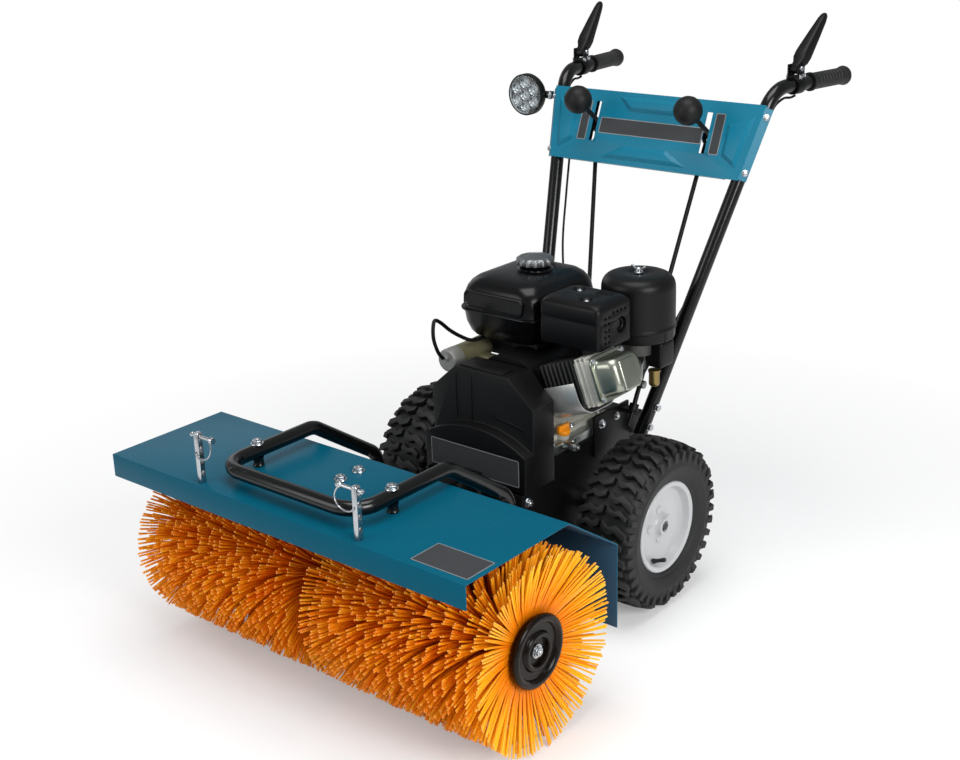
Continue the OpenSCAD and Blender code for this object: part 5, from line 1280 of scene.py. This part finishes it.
    def mounts(self) -> None:
        """Makes the bright rail and spacer beside the crankcase."""
        rail = Piece.block((97, -112, 305.2), (118, 14, 322)).bevelled(1.5, 2)
        slot = Piece.block((112, -100, 309), (121, -40, 318)).bevelled(2.5, 3)
        rail.cut(slot)
        spacer = Piece.turned([(0, 0), (8, 0), (8.4, 1), (8.4, 26), (7.6, 27.5), (0, 27.5)], (116, -74, 316),
                              Axis.X, 28)
        nut = hex_bolt((143.6, -74, 316), Axis.X, 6)
        rail.joined(spacer, nut, hex_bolt((107, -100, 322.1), Axis.Z, 6))
        rail.done("engine_rail", ZINC_SHEET, self.body, "zinc_steel")

    def starter(self) -> None:
        """Fits the starter motor, its terminal and lead."""
        z, x = self.crank_z + 60, self.starter_x
        drum = Piece.turned([(0, -137), (20, -137), (22.4, -135), (23, -131), (23, -108), (22.4, -107),
                             (22.4, -40), (23, -38), (23, -24), (20, -22), (0, -22)], (x, 0, z), Axis.Y, 48)
        drum.paint(GREY_CAP, lambda c, n: c.y < -107)
        solenoid = Piece.turned([(0, 0), (12, 0), (13, 2), (13, 70), (11, 72), (0, 72)],
                                (x - 28, -111, z - 12), Axis.Y, 32)
        foot = Piece.block((x, -70, z - 14), (-71, -44, z - 2)).bevelled(1.5)
        post = Piece.turned([(0, -7), (5, -7), (5, -1), (8, -1), (8, 1), (0, 1)], (x, -137, z + 6), Axis.Y,
                            24)
        drum.joined(solenoid, foot, post).done(
            "starter_drum", GOLD_STEEL, self.body, "zinc_steel", ["starter_motor"])
        lead = Piece.tube(smooth_line(self.lead_route), 3.8, 3)
        lead.done("starter_lead", BLACK_PLASTIC, self.body, "black_plastic", ["starter_cable"], 50)

    def carburettor(self) -> None:
        """Casts the carburettor and hangs its float bowl."""
        refine("carburettor", DULL_ZINC, self.body, "cast_aluminium", 1.5)
        bowl = Piece.turned([(0, 0), (7, 0), (9.6, 2), (10.5, 6), (10.5, 28), (12, 29), (12, 33), (8, 34),
                             (0, 34)], (204, 100, 402), steps=36)
        bowl.done("float_bowl", BRASS, self.body, "cast_aluminium", smooth=40)

    def recoil(self) -> None:
        """Fits the recoil starter, with the rope that comes out when its grip is pulled."""
        refine("recoil_cover", BLACK_PLASTIC, self.body, "black_paint", 0.8)
        refine("recoil_grip", BLACK_PLASTIC, "recoil_grip", "black_plastic", 1.5)
        rope = Piece.tube(self.rope_ends, 2.4, 3)
        rope.done("recoil_rope", BLACK_PLASTIC, "recoil_grip", "black_plastic")

    def build(self) -> None:
        """Builds the whole engine."""
        for step in (self.tank, self.cap, self.shield, self.cleaner, self.cylinder, self.valve_cover,
                     self.baffle, self.mounts, self.starter, self.carburettor, self.recoil):
            step()
        refine("throttle_lever", MACHINED, "throttle", "machined_steel", 0.5)
        stick = Piece.copy_of("oil_dipstick").bevelled(1.2, 2).placed(Matrix.Translation((2, 0, -9)))
        stick.done("oil_dipstick_moulded", ORANGE_PLASTIC, self.body, "cap_plastic", ["oil_dipstick"])


@dataclass
class Controls:
    """Handles, grips, clutch levers, panel, its levers and the headlight."""

    foot: tuple = (134.5, 157.0, 262.0)
    bend: tuple = (254.0, 438.0, 932.0)
    end: tuple = (284.0, 676.0, 929.0)
    tube_r: float = 14.0
    bend_r: float = 62.0
    panel_low_z: float = 762.0
    lamp: tuple = (-322.0, 392.0, 882.0)
    pivot: tuple = (263.0, 509.4, 963.1)
    paddle_turn: tuple = (-7.18, 46.7)
    knob: tuple = (133.0, 318.0, 896.0)
    knob_r: float = 28.0
    knob_swell: float = 1.08
    swages: tuple = (
        ((-88, 143), (92, 143), (50, 113), (-54, 113)),
        ((-104, 11), (108, 11), (54, 41), (-50, 41)),
        ((-218, 22), (-182, 44), (-182, 108), (-238, 130)),
        ((218, 22), (182, 44), (182, 108), (238, 130)))
    cable_top: tuple = ((263, 509.4, 909.1), (261, 494, 907.2), (257, 474, 908), (252, 450, 897),
                        (248, 436.5, 877))
    cable_right: tuple = ((237, 424, 850), (222, 394, 780), (203, 354, 680), (180, 308, 580),
                          (142, 264, 470))
    cable_left: tuple = ((232, 430, 845), (222, 412, 780), (205, 372, 680), (170, 310, 580), (128, 262, 470))
    cable_foot: tuple = ((98, 228, 370), (88, 205, 312), (86, 201, 280))
    body: str = "chassis"

    @property
    def lean(self) -> float:
        """The handles' lean from upright, in radians."""
        return math.atan((self.bend[1] - self.foot[1]) / (self.bend[2] - self.foot[2]))

    @property
    def panel_frame(self) -> Matrix:
        """Where the panel's own frame lies: X across, Z up its back face, -Y outwards."""
        share = (self.panel_low_z - self.foot[2]) / (self.bend[2] - self.foot[2])
        y = self.foot[1] + (self.bend[1] - self.foot[1]) * share - self.tube_r / math.cos(self.lean) - 0.5
        return Matrix.Translation((0, y, self.panel_low_z)) @ Matrix.Rotation(-self.lean, 4, "X")

    def handles(self) -> None:
        """Bends the handle tubes and pulls the grips on."""
        tube = Piece.tube(bent_line([self.foot, self.bend, self.end], self.bend_r, 12), self.tube_r, 6)
        tube.both_sides().done("handle_tubes", TUBE_BLACK, self.body, "black_paint", ["handles"], 40)
        profile = [(14.1, 0), (18.4, 0), (19, 1.5), (19, 5), (17.6, 7)]
        for k in range(9):
            h = 12 + 10.5 * k
            profile += [(17, h), (17, h + 7.6), (16.2, h + 8.2), (16.2, h + 9.6)]
        profile += [(17.2, 108), (19.4, 117), (20, 121), (19, 124), (15, 125), (0, 125)]
        start = Vector(self.end) + (Vector(self.bend) - Vector(self.end)).normalized() * 122
        grip = Piece.turned(profile, steps=40)
        aim = (Vector(self.end) - start).to_track_quat("Z", "Y").to_matrix().to_4x4()
        grip.placed(Matrix.Translation(start) @ aim)
        grip.both_sides().done("grips_ribbed", GRIP_RUBBER, self.body, "grip_rubber", ["grips"], 30)
        refine("lever_brackets", BLACK_COAT, self.body, "black_paint", 0.8)
        bolts = [hex_bolt(Vector(self.pivot) + Vector((side * 13.2, y, z)), Axis.X, 4.5, flip=side < 0)
                 for side in (1, -1) for y, z in ((-6, -16), (8, -14))]
        Piece.group(bolts).both_sides().done("bracket_bolts", ZINC, self.body, "zinc_steel")

    def clutch_levers(self) -> None:
        """Moulds the clutch levers as flat paddles, each with a pivot bolt."""
        levels = [(13, 10, 3, -10), (17, 16, 4, -7), (18, 20, 5, 0), (18, 22, 5, 10), (26, 27, 6, 20),
                  (28.5, 28, 7, 34), (22.5, 22, 6.4, 80), (17, 16.5, 6, 118), (14, 13, 5.6, 128),
                  (9, 8.5, 3.8, 133), (4, 4, 1.8, 134.6)]
        paddle = Piece.loft([[(px, s, pz) for px, pz in round_box(w, d, r, 4)] for w, d, r, s in levels])
        bolt = Piece.turned([(0, -16), (4.5, -16), (5, -15), (5, 15), (4.5, 16), (0, 16)], (0, 0, 0), Axis.X,
                            20)
        aside, up = (math.radians(a) for a in self.paddle_turn)
        turn = Matrix.Translation(self.pivot) @ Matrix.Rotation(aside, 4, "Z") @ Matrix.Rotation(up, 4, "X")
        for made, finish, word, slot in ((paddle, BLACK_PLASTIC, "paddle", "black_plastic"),
                                         (bolt, ZINC, "pivot", "zinc_steel")):
            made.placed(turn)
            for side, one in (("left", made.flipped()), ("right", made)):
                one.done(f"clutch_{word}_{side}", finish, f"clutch_{side}", slot,
                         [f"clutch_lever_{side}"] if word == "paddle" else ())

    def panel(self) -> None:
        """Presses the control panel, with its swages, slots, plates and bolts."""
        made = Piece.copy_of("control_panel").bevelled(0.7, 2)
        pressed = []
        for outline in self.swages:
            one = Piece.plate(outline, 0.4, (0, -1.8, 0), (90, 0, 0))
            with edit_mode(one.obj):
                pick_faces(one.obj, lambda c, n: n.y < -0.9)
                bpy.ops.mesh.inset(thickness=8)
                bpy.ops.transform.translate(value=(0, -5.0, 0))
            pressed.append(one.bevelled(1.6, 3, 15))
        made.joined(Piece.group(pressed).placed(self.panel_frame)).done(
            "control_panel_pressed", PANEL_TEAL, self.body, "panel_paint", ["control_panel"])
        face = self.panel_frame @ Matrix.Translation((0, -2.02, 0)) @ Matrix.Rotation(math.pi / 2, 4, "X")
        blank_plate("panel_name_plate", 250, 34, face @ Matrix.Translation((4, 79, 0)), self.body)
        gate = Piece.block((-160, 8, 36), (-141.8, 10.5, 140)).bevelled(0.6).placed(self.panel_frame)
        gate.done("speed_gate", BLACK_COAT, self.body, "black_paint")
        for word, x in (("speed_plate", -162), ("angle_plate", 162)):
            blank_plate(word, 22, 84, face @ Matrix.Translation((x, 86, 0)), self.body)

    def levers(self) -> None:
        """Dresses the two panel levers with their round knobs, and their rods."""
        for word, side in (("speed", -1), ("angle", 1)):
            made = Piece.copy_of(f"{word}_lever").bevelled(0.6, 2)
            centre = Vector((side * self.knob[0], *self.knob[1:]))
            for vert in made.obj.data.vertices:
                if (vert.co - centre).length < self.knob_r:
                    vert.co = centre + (vert.co - centre) * self.knob_swell
            made.done(f"{word}_lever_turned", KNOB_PLASTIC, f"{word}_lever", "knob_plastic",
                      [f"{word}_lever"], 40)
            dress(f"{word}_rod", BLACK_COAT)

    def cables(self) -> None:
        """Lays the clutch cables along the handles."""
        cables = [Piece.tube(smooth_line(self.cable_top + middle + self.cable_foot), 2.5, 2)
                  for middle in (self.cable_right, self.cable_left)]
        made = cables[0].joined(cables[1].flipped())
        bpy.data.objects.remove(cables[1].obj)
        made.done("clutch_cable_pair", BLACK_PLASTIC, self.body, "black_plastic", ["clutch_cables"], 50)

    def headlight(self) -> None:
        """Builds the lamp: ribbed housing, seven bright cups and a clear lens."""
        housing = Piece.turned([(0, -34), (14, -34), (18, -32), (28, -24), (34, -20), (35, -17), (38, -15),
                                (39, -11), (42, -9), (45, -3), (45, 11), (44.4, 12), (43.2, 12), (42.6, 10),
                                (42.4, 4), (0, 4)], (0, 0, 0), Axis.Z, 64)
        ahead = Matrix.Translation(self.lamp) @ Matrix.Rotation(math.pi / 2, 4, "X")
        housing.placed(ahead)
        neck = Piece.turned([(0, 0), (8, 0), (8, 14), (6.5, 16), (0, 16)], (-291, 406, 882), Axis.X, 28)
        housing.joined(neck).done("lamp_housing", BLACK_PLASTIC, "headlight", "black_plastic", ["headlight"],
                                  35)
        cup = Piece.turned([(0, 4.2), (2.4, 4.2), (3, 5.4), (5, 4.9), (8.4, 6.2), (10.8, 8.2), (12, 9.6),
                            (12.8, 9.6), (12.8, 4.1), (0, 4.1)], steps=28)
        places = [Matrix.Identity(4)] + [Matrix.Translation((26.2 * math.cos(a), 26.2 * math.sin(a), 0))
                                         for a in (math.radians(60 * k + 30) for k in range(6))]
        cups = cup.repeated(places)
        cups.joined(Piece.turned([(39.2, 4.1), (42.2, 4.1), (42.2, 9.8), (39.2, 8.6)], steps=64,
                                 closed=True))
        cups.placed(ahead)
        cups.done("lamp_reflectors", CHROME, "headlight", "bright_chrome", smooth=40)
        lens = Piece.turned([(0, 10.2), (20, 10), (41.4, 9.9), (42, 10.2), (42, 11.2), (41, 11.8),
                             (20, 12.4), (0, 12.6)], steps=64)
        lens.placed(ahead)
        lens.done("lamp_lens", LENS, "headlight", "lens_glass", ["headlight_lens"], 40)
        refine("lamp_bracket", CHROME, self.body, "bright_chrome", 0.8)

    def build(self) -> None:
        """Builds everything that the operator touches."""
        self.handles()
        self.clutch_levers()
        self.panel()
        self.levers()
        self.cables()
        self.headlight()


@dataclass
class Studio:
    """A pale floor, soft lights and the photograph's camera."""

    target: tuple = (-0.0272, -0.1285, 0.4396)
    eye: tuple = (1.6483, -2.1151, 1.3961)
    roll: float = -1.72
    lens: float = 54.42
    lamps: tuple = (
        ("key", (3.0, -1.1, 1.9), 1.5, 80.0),
        ("top", (0.2, -0.3, 3.4), 2.0, 60.0),
        ("fill", (-1.4, -3.2, 1.7), 2.0, 36.0),
        ("rim", (-3.1, 1.2, 1.5), 1.6, 5.0))

    def camera(self) -> None:
        """Sets the camera at the photograph's place."""
        data = bpy.data.cameras.new("camera")
        data.lens = self.lens
        data.sensor_width = 36.0
        data.clip_end = 60.0
        obj = bpy.data.objects.new("camera", data)
        bpy.context.scene.collection.objects.link(obj)
        look = (Vector(self.target) - Vector(self.eye)).to_track_quat("-Z", "Y").to_matrix().to_4x4()
        roll = Matrix.Rotation(math.radians(self.roll), 4, "Z")
        obj.matrix_world = Matrix.Translation(self.eye) @ look @ roll
        bpy.context.scene.camera = obj

    def floor(self) -> None:
        """Lays a wide pale floor that the camera sees as white where no shadow falls."""
        bpy.ops.object.select_all(action="DESELECT")
        bpy.ops.mesh.primitive_grid_add(x_subdivisions=8, y_subdivisions=8, size=60,
                                        location=(0, 0, -0.0006))
        obj = bpy.context.object
        obj.name = "floor"
        material, tree, shader = fresh_tree("studio_paper_white")
        place = add_node(tree, "ShaderNodeTexCoord", {}).outputs["Object"]
        speck = add_node(tree, "ShaderNodeTexNoise", {"Vector": place, "Scale": 40.0})
        colour = add_node(tree, "ShaderNodeMix", {
            0: speck.outputs["Fac"], 6: linear("#FAFAFA"), 7: linear("#F6F6F6")}, data_type="RGBA")
        feed(tree, shader, {"Base Color": colour.outputs[2], "Roughness": 0.9, "Specular IOR Level": 0.1})
        away = add_node(tree, "ShaderNodeVectorMath", {0: place}, operation="LENGTH").outputs["Value"]
        far = add_node(tree, "ShaderNodeMapRange", {
            "Value": away, "From Min": 0.65, "From Max": 1.5, "To Min": 0.25, "To Max": 1.0})
        seen = seen_rays(tree)
        share = add_node(tree, "ShaderNodeMath", {
            0: far.outputs["Result"], 1: seen.outputs["Value"]}, operation="MULTIPLY")
        white = add_node(tree, "ShaderNodeEmission", {"Color": linear("#FFFFFF"), "Strength": 1.0})
        mixed = add_node(tree, "ShaderNodeMixShader", {
            0: share.outputs["Value"], 1: shader.outputs["BSDF"], 2: white.outputs["Emission"]})
        tree.links.new(mixed.outputs["Shader"], tree.nodes["Material Output"].inputs["Surface"])
        obj.data.materials.append(material)

    def lamp(self, name: str, place: Point, size: float, power: float) -> None:
        """Hangs one soft square lamp that faces the machine."""
        data = bpy.data.lights.new(name, "AREA")
        data.shape = "SQUARE"
        data.size = size
        data.energy = power
        obj = bpy.data.objects.new(name, data)
        bpy.context.scene.collection.objects.link(obj)
        obj.location = place
        obj.rotation_euler = (Vector(self.target) - Vector(place)).to_track_quat("-Z", "Y").to_euler()

    def world(self) -> None:
        """Fills the room with even white light, and shows white behind the machine."""
        world = bpy.data.worlds.new("studio")
        bpy.context.scene.world = world
        world.use_nodes = True
        tree = world.node_tree
        tree.nodes.clear()
        seen = seen_rays(tree)
        dim = add_node(tree, "ShaderNodeBackground", {"Color": linear("#F4F7FA"), "Strength": 0.34})
        bright = add_node(tree, "ShaderNodeBackground", {"Color": linear("#FFFFFF"), "Strength": 1.0})
        mixed = add_node(tree, "ShaderNodeMixShader", {
            0: seen.outputs["Value"], 1: dim.outputs["Background"], 2: bright.outputs["Background"]})
        add_node(tree, "ShaderNodeOutputWorld", {"Surface": mixed.outputs["Shader"]})

    def build(self) -> None:
        """Builds the studio."""
        bpy.context.scene.view_settings.view_transform = "Standard"
        self.camera()
        self.floor()
        self.world()
        for name, place, size, power in self.lamps:
            self.lamp(name, place, size, power)


def main() -> None:
    """Builds the studio and every sub-assembly."""
    logging.basicConfig(level=logging.INFO, format="%(name)s %(message)s")
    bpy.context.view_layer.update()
    for assembly in (Studio(), Brush(), BrushHead(), Wheels(), Chassis(), Engine(), Controls()):
        LOG.info("building %s", type(assembly).__name__)
        assembly.build()


if __name__ == "__main__":
    main()
